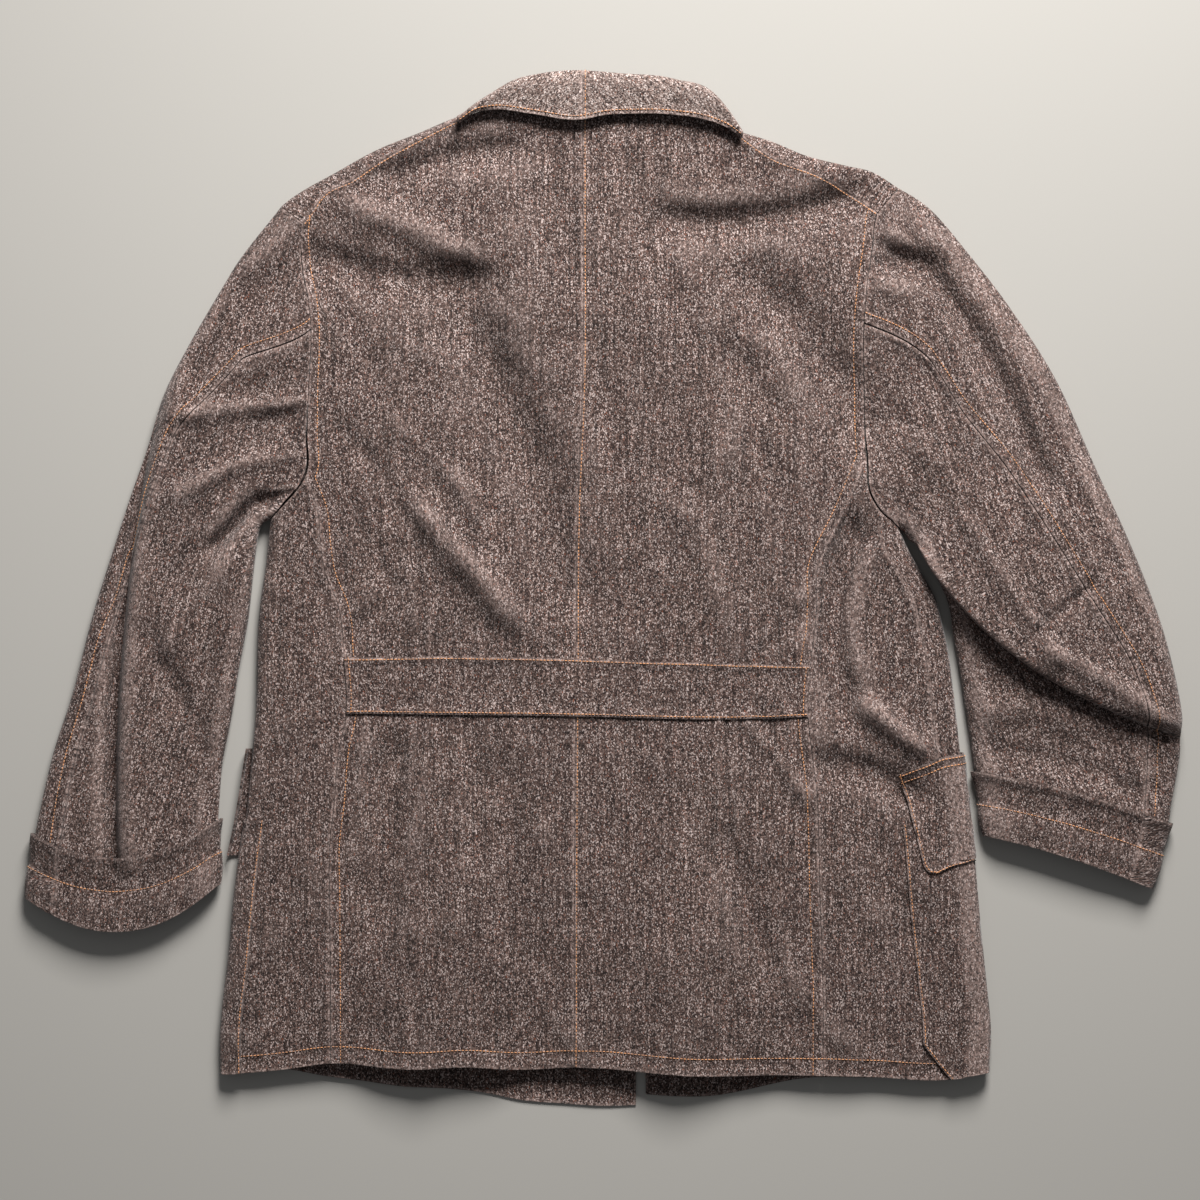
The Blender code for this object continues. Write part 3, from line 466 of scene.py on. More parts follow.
@dataclass
class Panel:
    """One sewn piece as a grid of points, in millimetres."""

    name: str
    points: Array
    upward: tuple[int, int]
    keep: Array | None = None
    turned: float = 0.0
    # How pale each point is painted on its crests: part wear, part painted highlight.
    wear_and_highlight: Array | None = None
    grain: Triple = (0.0, 1.0, 0.0)
    by_length: bool = False

    def outward(self) -> Array:
        """Normals that point out of the jacket."""
        normal = grid_normals(self.points)
        return normal if normal[self.upward][2] > 0 else -normal

    def oriented(self, grid: Array, edge: Edge) -> Array:
        """The grid turned so that an edge is its first row."""
        if edge is Edge.TOP:
            return grid[::-1]
        if edge is Edge.START:
            return np.swapaxes(grid, 0, 1)
        if edge is Edge.END:
            return np.swapaxes(grid, 0, 1)[::-1]
        return grid

    def inset(self, edge: Edge, distance: float, start: float = 0.0, end: float = 1.0) -> tuple[Array, Array]:
        """A line on the outer face that keeps a distance from an edge.

        Args:
            edge: the edge that the line follows.
            distance: how far in it runs, in millimetres.
            start: the share of the edge at which it starts.
            end: the share at which it ends.

        Returns:
            Its points, and the outward normals there.
        """
        points = self.oriented(self.points, edge)
        normal = self.oriented(self.outward(), edge)
        run = run_along(points)
        lines = range(round(start * (points.shape[1] - 1)), round(end * (points.shape[1] - 1)) + 1)
        path, facing = [], []
        for j in lines:
            if run[-1, j] < distance * 1.5:
                continue
            path.append([np.interp(distance, run[:, j], points[:, j, k]) for k in range(3)])
            facing.append([np.interp(distance, run[:, j], normal[:, j, k]) for k in range(3)])
        facing = np.array(facing)
        facing = facing / np.linalg.norm(facing, axis=1, keepdims=True)
        return np.array(path) + facing * CLOTH / 2, facing

    def cloth_map(self) -> Array:
        """Metres across and along the grain at each point, turned where the piece is cut on the bias."""
        if self.by_length:
            across = run_along(np.swapaxes(self.points, 0, 1)).T
            return np.stack([across, run_along(self.points)], axis=-1) * MM
        grain = np.asarray(self.grain, float)
        aside = np.cross(grain, self.outward())
        aside = aside / np.maximum(np.linalg.norm(aside, axis=-1, keepdims=True), 1e-6)
        steps = (np.diff(self.points, axis=1) * (aside[:, 1:] + aside[:, :-1]) / 2).sum(axis=-1)
        across = np.concatenate([np.zeros((len(steps), 1)), np.cumsum(steps, axis=1)], axis=1)
        line, turn = self.points[:, 2], aside[:, 2]
        moves = (np.diff(line, axis=0) * (turn[1:] + turn[:-1]) / 2).sum(axis=-1)
        drift = np.concatenate([[0], np.cumsum(moves)])
        u = across - across[:, 2:3] + drift[:, None]
        down = self.points @ grain
        cos, sin = math.cos(self.turned), math.sin(self.turned)
        return np.stack([u * cos - down * sin, u * sin + down * cos], axis=-1) * MM

    def edge_map(self) -> Array:
        """Metres to the nearest side edge and to the nearest end edge at each point."""
        down = run_along(self.points)
        across = run_along(np.swapaxes(self.points, 0, 1)).T
        sides = np.minimum(across, across[:, -1:] - across)
        ends = np.minimum(down, down[-1:] - down)
        return np.stack([sides, ends], axis=-1) * MM

    def area(self) -> float:
        """The cloth's area, in square metres."""
        square = np.cross(self.points[1:, 1:] - self.points[:-1, :-1],
                          self.points[1:, :-1] - self.points[:-1, 1:])
        area = np.linalg.norm(square, axis=-1) / 2
        return float((area if self.keep is None else area[self.keep]).sum()) * MM * MM


def deselect() -> None:
    """Leaves nothing selected."""
    bpy.ops.object.select_all(action="DESELECT")


def make_cloth(panel: Panel, material: bpy.types.Material) -> bpy.types.Object:
    """Builds a piece's cloth from a grid primitive.

    Args:
        panel: the piece.
        material: its finish.

    Returns:
        The finished piece.
    """
    rows, columns = panel.points.shape[:2]
    deselect()
    bpy.ops.mesh.primitive_grid_add(x_subdivisions=columns - 1, y_subdivisions=rows - 1, size=2)
    piece = bpy.context.object
    piece.name = panel.name + "_cloth"
    mesh = piece.data
    flat = np.empty(len(mesh.vertices) * 3)
    mesh.vertices.foreach_get("co", flat)
    flat = flat.reshape(-1, 3)
    i = np.rint((flat[:, 1] + 1) / 2 * (rows - 1)).astype(int)
    j = np.rint((flat[:, 0] + 1) / 2 * (columns - 1)).astype(int)
    mesh.vertices.foreach_set("co", ((panel.points[i, j] - DATUM) * MM).ravel())
    corner = np.empty(len(mesh.loops), int)
    mesh.loops.foreach_get("vertex_index", corner)
    for layer, values in (("Cloth", panel.cloth_map()), ("Edges", panel.edge_map())):
        made = mesh.uv_layers.new(name=layer)
        made.data.foreach_set("uv", values[i[corner], j[corner]].ravel())
    mesh.uv_layers.remove(mesh.uv_layers["UVMap"])
    # Paleness on fold crests, part wear and part painted highlight, kept for the shader.
    wear_and_highlight = mesh.attributes.new("WearAndHighlight", "FLOAT", "POINT")
    amount = np.zeros((rows, columns)) if panel.wear_and_highlight is None else panel.wear_and_highlight
    wear_and_highlight.data.foreach_set("value", amount[i, j])
    if panel.keep is not None:
        drop_squares(piece, panel, i, j)
    mesh.materials.append(material)
    face_outwards(piece, panel)
    wall = piece.modifiers.new("Wall", "SOLIDIFY")
    wall.thickness = CLOTH * MM
    wall.offset = 0
    bpy.context.view_layer.objects.active = piece
    bpy.ops.object.modifier_apply(modifier=wall.name)
    deselect()
    piece.select_set(True)
    bpy.ops.object.shade_smooth_by_angle(angle=SMOOTH_ANGLE)
    deselect()
    return piece


def drop_squares(piece: bpy.types.Object, panel: Panel, i: Array, j: Array) -> None:
    """Deletes the grid squares that aren't cloth.

    Args:
        piece: the piece's object.
        panel: the piece, whose keep says which squares stay.
        i: each vertex's row.
        j: each vertex's column.
    """
    mesh = piece.data
    spare = []
    for face in mesh.polygons:
        spare.append(not panel.keep[min(i[v] for v in face.vertices), min(j[v] for v in face.vertices)])
    bpy.ops.object.mode_set(mode="EDIT")
    bpy.ops.mesh.select_mode(type="FACE")
    bpy.ops.mesh.select_all(action="DESELECT")
    bpy.ops.object.mode_set(mode="OBJECT")
    mesh.polygons.foreach_set("select", spare)
    bpy.ops.object.mode_set(mode="EDIT")
    bpy.ops.mesh.delete(type="FACE")
    bpy.ops.object.mode_set(mode="OBJECT")


def face_outwards(piece: bpy.types.Object, panel: Panel) -> None:
    """Turns the sheet's faces so that they point out of the jacket."""
    normal = grid_normals(panel.points)[panel.upward]
    if normal[2] > 0:
        return
    bpy.ops.object.mode_set(mode="EDIT")
    bpy.ops.mesh.select_all(action="SELECT")
    bpy.ops.mesh.flip_normals()
    bpy.ops.object.mode_set(mode="OBJECT")


def grey(level: float) -> Colour:
    """A grey of one linear level."""
    return level, level, level


class Nodes:
    """Adds and joins shader nodes of one material."""

    def __init__(self, name: str) -> None:
        """Starts a material with a bare Principled shader."""
        self.material = bpy.data.materials.new(name)
        self.material.use_nodes = True
        self.tree = self.material.node_tree
        self.shader = self.tree.nodes["Principled BSDF"]

    def add(self, kind: str, **settings: object) -> bpy.types.Node:
        """Adds a node of a kind and gives it settings."""
        node = self.tree.nodes.new(kind)
        for key, value in settings.items():
            setattr(node, key, value)
        return node

    def put(self, value: object, socket: Socket) -> None:
        """Links a socket to another, or gives it a number or colour."""
        if isinstance(value, Socket):
            self.tree.links.new(value, socket)
        else:
            socket.default_value = value

    def math(self, operation: str, *values: object) -> Socket:
        """A Math node's result."""
        node = self.add("ShaderNodeMath", operation=operation)
        for value, socket in zip(values, node.inputs):
            self.put(value, socket)
        return node.outputs[0]

    def blend(self, how: str, amount: object, a: object, b: object) -> Socket:
        """A colour Mix node's result."""
        node = self.add("ShaderNodeMix", data_type="RGBA", blend_type=how)
        node.clamp_factor = True
        self.put(amount, node.inputs[0])
        self.put(a, node.inputs[6])
        self.put(b, node.inputs[7])
        return node.outputs[2]

    def remap(self, value: object, low: float, high: float, out_low: float, out_high: float) -> Socket:
        """A smooth Map Range node's result."""
        node = self.add("ShaderNodeMapRange", interpolation_type="SMOOTHSTEP")
        for item, socket in zip((value, low, high, out_low, out_high), node.inputs):
            self.put(item, socket)
        return node.outputs[0]

    def ramp(self, value: object, stops: Sequence[tuple[float, Colour]], how: str = "LINEAR") -> Socket:
        """A colour ramp's result, from stops of (place, colour)."""
        node = self.add("ShaderNodeValToRGB")
        node.color_ramp.interpolation = how
        for place, colour in stops:
            if place == 0:
                node.color_ramp.elements[0].color = (*colour, 1)
            elif place == 1:
                node.color_ramp.elements[-1].color = (*colour, 1)
            else:
                node.color_ramp.elements.new(place).color = (*colour, 1)
        self.put(value, node.inputs[0])
        return node.outputs[0]

    def scaled(self, vector: object, scale: Triple, turned: float = 0.0) -> Socket:
        """A pattern's coordinates, scaled and turned."""
        node = self.add("ShaderNodeMapping")
        self.put(vector, node.inputs["Vector"])
        node.inputs["Scale"].default_value = scale
        node.inputs["Rotation"].default_value = (0, 0, turned)
        return node.outputs[0]

    def noise(self, vector: object, detail: float, roughness: float) -> Socket:
        """A Noise node's value at scale 1."""
        node = self.add("ShaderNodeTexNoise")
        self.put(vector, node.inputs["Vector"])
        node.inputs["Scale"].default_value = 1
        node.inputs["Detail"].default_value = detail
        node.inputs["Roughness"].default_value = roughness
        return node.outputs[0]


@dataclass(frozen=True)
class Twill:
    """Salt-and-pepper covert twill, faded and scuffed pale along its edges, pale on fold crests as part
    abrasion and part painted highlight, with painted shade in its seams.

    Colours are linear and lengths are metres. fleck is the size of one coloured fleck.
    """

    name: str
    pepper: Colour = (0.007, 0.004, 0.004)
    dark: Colour = (0.030, 0.017, 0.014)
    body: Colour = (0.093, 0.056, 0.047)
    pale: Colour = (0.180, 0.125, 0.109)
    salt: Colour = (0.46, 0.375, 0.355)
    rust: Colour = (0.18, 0.052, 0.024)
    # The pale colour for scuffed edges and for the painted highlight on crests.
    worn_and_highlight: Colour = (0.50, 0.37, 0.335)
    fleck: float = 0.00066
    fleck_stretch: float = 0.7
    fleck_turn: float = 0.5
    patchiness: float = 0.35
    softened: float = 0.10
    twill_pitch: float = 0.0016
    twill_slope: float = -28.0
    twill_strength: float = 0.55
    edge_rub: float = 0.62
    # How strongly crests are painted pale, as part wear and part painted highlight.
    edge_rub_width: float = 0.0030
    fold_rub_and_highlight: float = 0.40
    # How dark, and how wide, the painted shade is where an edge dips into its seam.
    seam_painted_shade: float = 0.45
    seam_painted_shade_width: float = 0.0007
    seam_width: float = 0.0085
    seam_swell: float = 0.0005
    pucker: float = 0.0015
    yarn_height: float = 0.00006
    bump_strength: float = 0.9
    roughness: float = 0.92
    sheen: float = 0.18
    sheen_roughness: float = 0.5
    specular: float = 0.25

    def material(self) -> bpy.types.Material:
        """Builds the finish.

        Returns:
            The material.
        """
        n = Nodes(self.name)
        cloth = n.add("ShaderNodeUVMap", uv_map="Cloth").outputs[0]
        edges = n.add("ShaderNodeSeparateXYZ")
        n.put(n.add("ShaderNodeUVMap", uv_map="Edges").outputs[0], edges.inputs[0])
        side, end = edges.outputs[0], edges.outputs[1]
        cells = n.add("ShaderNodeTexVoronoi", feature="F1")
        rate = 1 / self.fleck
        n.put(n.scaled(cloth, (rate, rate * self.fleck_stretch, 1), self.fleck_turn), cells.inputs["Vector"])
        cells.inputs["Scale"].default_value = 1
        picked = n.add("ShaderNodeSeparateColor")
        n.put(cells.outputs["Color"], picked.inputs[0])
        colour = self.flecked(n, cloth, picked.outputs[0])
        colour = self.woven(n, cloth, colour)
        colour = self.rubbed_highlit_and_shaded(n, cloth, colour, n.math("MINIMUM", side, end))
        n.put(colour, n.shader.inputs["Base Color"])
        n.put(self.relief(n, cloth, side, end, picked.outputs[1]), n.shader.inputs["Normal"])
        n.shader.inputs["Roughness"].default_value = self.roughness
        n.shader.inputs["Sheen Weight"].default_value = self.sheen
        n.shader.inputs["Sheen Roughness"].default_value = self.sheen_roughness
        n.shader.inputs["Specular IOR Level"].default_value = self.specular
        return n.material

    def flecked(self, n: Nodes, cloth: Socket, pick: Socket) -> Socket:
        """The colour of each fleck, from pepper to salt, thinly mixed with the body colour.

        Args:
            n: the material's nodes.
            cloth: metres on the cloth.
            pick: a value that differs from one fleck to the next.

        Returns:
            The colour.
        """
        rate = 1 / self.fleck
        patch = n.noise(n.scaled(cloth, (rate * 0.11, rate * 0.05, 1)), 3, 0.6)
        pick = n.math("ADD", pick, n.math("MULTIPLY", n.math("SUBTRACT", patch, 0.5), self.patchiness))
        flecks = n.ramp(pick, [
            (0, self.pepper), (0.20, self.dark), (0.40, self.body), (0.64, self.pale), (0.84, self.salt),
            (0.955, self.rust), (0.975, self.salt), (1, self.salt)], "CONSTANT")
        return n.blend("MIX", self.softened, flecks, (*self.body, 1))

    def woven(self, n: Nodes, cloth: Socket, colour: Socket) -> Socket:
        """The colour with fine grain, streaks along the warp, the twill's slant and faded areas.

        Args:
            n: the material's nodes.
            cloth: metres on the cloth.
            colour: the colour of the flecks.

        Returns:
            The colour.
        """
        rate = 1 / self.fleck
        fine = n.noise(n.scaled(cloth, (rate * 2.1, rate * 1.2, 1)), 2, 0.7)
        streak = n.noise(n.scaled(cloth, (rate * 0.40, rate * 0.009, 1)), 3, 0.65)
        slant = n.add("ShaderNodeTexWave", wave_type="BANDS", bands_direction="X")
        bands = (2 / self.twill_pitch / math.tau,) * 3
        n.put(n.scaled(cloth, bands, math.radians(self.twill_slope)), slant.inputs["Vector"])
        slant.inputs["Scale"].default_value = 1
        slant.inputs["Distortion"].default_value = 1.5
        fade = n.noise(n.scaled(cloth, (16, 10, 1)), 4, 0.6)
        for amount, value, stops in (
                (1.0, fine, [(0, grey(0.45)), (0.5, grey(1.0)), (1, grey(1.6))]),
                (1.0, streak, [(0.34, grey(0.56)), (0.5, grey(1.0)), (0.66, grey(1.46))]),
                (self.twill_strength, slant.outputs[1], [(0, grey(0.74)), (1, grey(1.18))]),
                (1.0, fade, [(0, (0.80, 0.79, 0.79)), (0.5, grey(1.0)), (1, (1.20, 1.19, 1.18))])):
            colour = n.blend("MULTIPLY", amount, colour, n.ramp(value, stops))
        return colour

    def rubbed_highlit_and_shaded(self, n: Nodes, cloth: Socket, colour: Socket, near: Socket) -> Socket:
        """The colour scuffed pale on edges, pale on crests as part abrasion and part painted highlight, and
        darkened with painted shade where an edge dips into its seam.

        Args:
            n: the material's nodes.
            cloth: metres on the cloth.
            colour: the woven colour.
            near: metres to the nearest edge.

        Returns:
            The colour.
        """
        rub_and_highlight = n.math("MULTIPLY", n.remap(near, 0.0003, self.edge_rub_width, 1, 0),
                     n.remap(n.noise(n.scaled(cloth, (260, 260, 1)), 3, 0.7), 0.40, 0.66, 0.05, 1))
        colour = n.blend("MIX", n.math("MULTIPLY", rub_and_highlight, self.edge_rub), colour, (*self.worn_and_highlight, 1))
        # Crests are painted pale: part wear, part painted highlight for the light they catch.
        crest = n.add("ShaderNodeAttribute", attribute_name="WearAndHighlight").outputs["Fac"]
        rub_and_highlight = n.math("MULTIPLY", n.remap(crest, 0.0, 1.0, 0, 1),
                     n.remap(n.noise(n.scaled(cloth, (420, 300, 1)), 3, 0.7), 0.42, 0.62, 0.15, 1))
        colour = n.blend("MIX", n.math("MULTIPLY", rub_and_highlight, self.fold_rub_and_highlight), colour, (*self.worn_and_highlight, 1))
        # Painted shade: every edge is darkened within a fraction of a millimetre, where it dips into its seam.
        sunk = n.remap(near, 0.0, self.seam_painted_shade_width, self.seam_painted_shade, 1)
        dark = n.add("ShaderNodeCombineColor")
        for socket in dark.inputs:
            n.put(sunk, socket)
        return n.blend("MULTIPLY", 1.0, colour, dark.outputs[0])

    def relief(self, n: Nodes, cloth: Socket, side: Socket, end: Socket, yarn: Socket) -> Socket:
        """The relief of yarns, of the thick seams and of the puckers between their stitches.

        Args:
            n: the material's nodes.
            cloth: metres on the cloth.
            side: metres to the nearest side edge.
            end: metres to the nearest end edge.
            yarn: a value that differs from one fleck to the next.

        Returns:
            The normal.
        """
        height = n.math("MULTIPLY", yarn, self.yarn_height)
        pucker = n.noise(n.scaled(cloth, (150, 190, 1)), 2, 0.5)
        for distance in (side, end):
            swell = n.remap(distance, 0.0, self.seam_width, 1, 0)
            height = n.math("ADD", height, n.math("MULTIPLY", swell, self.seam_swell))
            height = n.math("ADD", height, n.math("MULTIPLY", n.math("MULTIPLY", swell, pucker), self.pucker))
        bump = n.add("ShaderNodeBump")
        bump.inputs["Strength"].default_value = self.bump_strength
        bump.inputs["Distance"].default_value = 1.0
        n.put(height, bump.inputs["Height"])
        return bump.outputs[0]


FADED_TWILL = Twill(
    "bias_twill_cloth", dark=(0.060, 0.037, 0.032), body=(0.185, 0.128, 0.110), pale=(0.33, 0.255, 0.23),
    salt=(0.62, 0.53, 0.50))


@dataclass(frozen=True)
class Thread:
    """Rust-orange topstitching thread, dulled where it has worn."""

    name: str = "rust_thread"
    bright: Colour = (0.78, 0.37, 0.17)
    dull: Colour = (0.50, 0.26, 0.15)
    patch: float = 90.0

    def material(self) -> bpy.types.Material:
        """Builds the finish."""
        n = Nodes(self.name)
        place = n.add("ShaderNodeTexCoord").outputs["Object"]
        patch = n.noise(n.scaled(place, (self.patch,) * 3), 3, 0.6)
        n.put(n.ramp(patch, [(0, self.dull), (0.45, self.dull), (0.55, self.bright), (1, self.bright)]),
              n.shader.inputs["Base Color"])
        n.shader.inputs["Roughness"].default_value = 0.75
        return n.material


@dataclass(frozen=True)
class Stitcher:
    """Lays rows of thread stitches on the cloth. Sizes are millimetres."""

    pitch: float = 2.7
    length: float = 1.9
    width: float = 0.66
    sunk: float = 0.12
    sides: int = 6
    barrel: float = 0.7
    tip_width: float = 0.45
    look: float = 0.6

    def template(self) -> tuple[Array, list[tuple[int, ...]]]:
        """One stitch along X, from a cylinder whose ends are drawn in.

        Returns:
            Its points, and its faces.
        """
        tip = (1 - self.barrel) / 2
        deselect()
        bpy.ops.mesh.primitive_cylinder_add(
            vertices=self.sides, radius=self.width / 2, depth=self.length * self.barrel, end_fill_type="NGON",
            rotation=(0, math.pi / 2, 0))
        stitch = bpy.context.object
        bpy.ops.object.mode_set(mode="EDIT")
        bpy.ops.mesh.select_mode(type="FACE")
        bpy.ops.mesh.select_all(action="DESELECT")
        bpy.ops.object.mode_set(mode="OBJECT")
        for face in stitch.data.polygons:
            face.select = len(face.vertices) == self.sides
        bpy.ops.object.mode_set(mode="EDIT")
        bpy.ops.mesh.extrude_faces_move(TRANSFORM_OT_shrink_fatten={"value": self.length * tip})
        bpy.ops.object.mode_set(mode="OBJECT")
        bpy.ops.object.transform_apply(location=True, rotation=True, scale=True)
        mesh = stitch.data
        points = np.array([v.co[:] for v in mesh.vertices])
        ends = np.abs(points[:, 0]) > self.length * (self.barrel + tip) / 2
        points[ends, 1:] *= self.tip_width
        faces = [tuple(face.vertices) for face in mesh.polygons]
        bpy.data.objects.remove(stitch, do_unlink=True)
        bpy.data.meshes.remove(mesh)
        return points, faces

    def row(self, path: Array, facing: Array) -> tuple[Array, Array, Array, Array]:
        """Places stitches along a line.

        Args:
            path: the line's points.
            facing: the outward normals along it.

        Returns:
            Each stitch's middle, and its directions along, across and out.
        """
        run = np.concatenate([[0], np.cumsum(np.linalg.norm(np.diff(path, axis=0), axis=1))])
        at = np.arange(self.pitch / 2, run[-1], self.pitch)

        def read_at(values: Array, where: Array) -> Array:
            """The values along the line at some lengths."""
            return np.stack([np.interp(where, run, values[:, k]) for k in range(3)], axis=1)

        along = read_at(path, at + self.look) - read_at(path, at - self.look)
        along = along / np.maximum(np.linalg.norm(along, axis=1, keepdims=True), 1e-9)
        out = read_at(facing, at)
        out = out - along * (out * along).sum(axis=1, keepdims=True)
        out = out / np.linalg.norm(out, axis=1, keepdims=True)
        middle = read_at(path, at) + out * (self.width / 2 - self.sunk)
        return middle, along, np.cross(out, along), out

    def sew(self, name: str, lines: Sequence[tuple[Array, Array]], material: bpy.types.Material,
            stitch: tuple[Array, list[tuple[int, ...]]]) -> bpy.types.Object:
        """Sews several rows as one piece.

        Args:
            name: the piece's name.
            lines: the rows' points and normals.
            material: the thread's finish.
            stitch: the template's points and faces.

        Returns:
            The finished stitching.
        """
        points, faces = stitch
        placed = [self.row(path, facing) for path, facing in lines]
        middle, along, across, out = (np.concatenate([row[k] for row in placed]) for k in range(4))
        copies = middle[:, None] + along[:, None] * points[None, :, :1]
        copies = copies + across[:, None] * points[None, :, 1:2]
        copies = copies + out[:, None] * points[None, :, 2:3]
        count = len(points)
        corners = [tuple(v + k * count for v in face) for k in range(len(middle)) for face in faces]
        mesh = bpy.data.meshes.new(name)
        mesh.from_pydata(((copies.reshape(-1, 3) - DATUM) * MM).tolist(), [], corners)
        mesh.shade_smooth()
        piece = bpy.data.objects.new(name, mesh)
        bpy.context.scene.collection.objects.link(piece)
        mesh.materials.append(material)
        return piece


@dataclass
class Workshop:
    """Makes pieces, sews their rows and logs each piece's faces and area."""

    twill: bpy.types.Material
    bias: bpy.types.Material
    lined: bpy.types.Material
    thread: bpy.types.Material
    stitcher: Stitcher = field(default_factory=Stitcher)
    template: tuple[Array, list[tuple[int, ...]]] | None = None

    def make(self, panel: Panel, slot: str, rests_on: Sequence[str],
             lines: Sequence[tuple[Array, Array]]) -> None:
        """Builds a piece with its stitching, hangs both under the root and hides the solid it stands for.

        Args:
            panel: the piece, named as its node.
            slot: the record's material slot.
            rests_on: what the cloth lies on; not used.
            lines: its rows of stitches.
        """
        material = {"twill": self.twill, "twill_bias": self.bias, "twill_lined": self.lined}[slot]
        cloth = make_cloth(panel, material)
        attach(cloth, "root")
        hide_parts(panel.name)
        if lines:
            if self.template is None:
                self.template = self.stitcher.template()
            thread = self.stitcher.sew(panel.name + "_stitches", lines, self.thread, self.template)
            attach(thread, "root")
        width, length, area = self.measured(panel)
        LOG.info("%s: %d faces, %.4f m2", panel.name, len(cloth.data.polygons), area)

    def measured(self, panel: Panel) -> Triple:
        """A piece's width, length and area, taken from its grid."""
        down = run_along(panel.points)[-1].max() * MM
        across = run_along(np.swapaxes(panel.points, 0, 1))[-1].max() * MM
        area = min(max(panel.area(), LEAST_FILL * down * across), down * across)
        return across, down, area


def drawn_in(points: Array, edges: Sequence[Edge], gap: float = SEAM_GAP, roll: float = 0.35) -> Array:
    """Draws edges of a grid back from their seams and rolls them down a little.

    Args:
        points: the grid.
        edges: which of its edges.
        gap: the whole width of the seam's gap.
        roll: how far an edge sinks into the seam.

    Returns:
        A changed copy.
    """
    points = points.copy()
    pairs = {Edge.START: (np.s_[:, 0], np.s_[:, 1]), Edge.END: (np.s_[:, -1], np.s_[:, -2]),
             Edge.BOTTOM: (np.s_[0], np.s_[1]), Edge.TOP: (np.s_[-1], np.s_[-2])}
    for edge in edges:
        here, away = pairs[edge]
        run = points[away] - points[here]
        run = run / np.maximum(np.linalg.norm(run, axis=-1, keepdims=True), 1e-9)
        points[here] += run * gap / 2
        points[here][..., 2] -= roll
    return points


def fold_wear_and_highlight(points: Array, crest: float, rounds: int = 14) -> Array:
    """How much each place stands proud of the cloth round it, from 0 to 1; the cloth is painted pale there, as
    part abrasion and part painted highlight on the crests.
    """
    z = points[..., 2]
    level = z.copy()
    for _ in range(rounds):
        level[1:-1] = (level[:-2] + 2 * level[1:-1] + level[2:]) / 4
        level[:, 1:-1] = (level[:, :-2] + 2 * level[:, 1:-1] + level[:, 2:]) / 4
    return np.clip((z - level) / crest, 0, 1)


# Each dart as three points along its line: x and y of its first end, its middle and its other end.
DARTS: dict[str, tuple[tuple[float, ...], ...]] = {
    "left": ((-142.5, 38.6, -137, -7, -136, -50), (-137, -97, -139.5, -158, -165, -235)),
    "right": ((109, 23, 100.6, -7, 95.3, -50), (94, -97, 93, -148, 100, -220)),
}


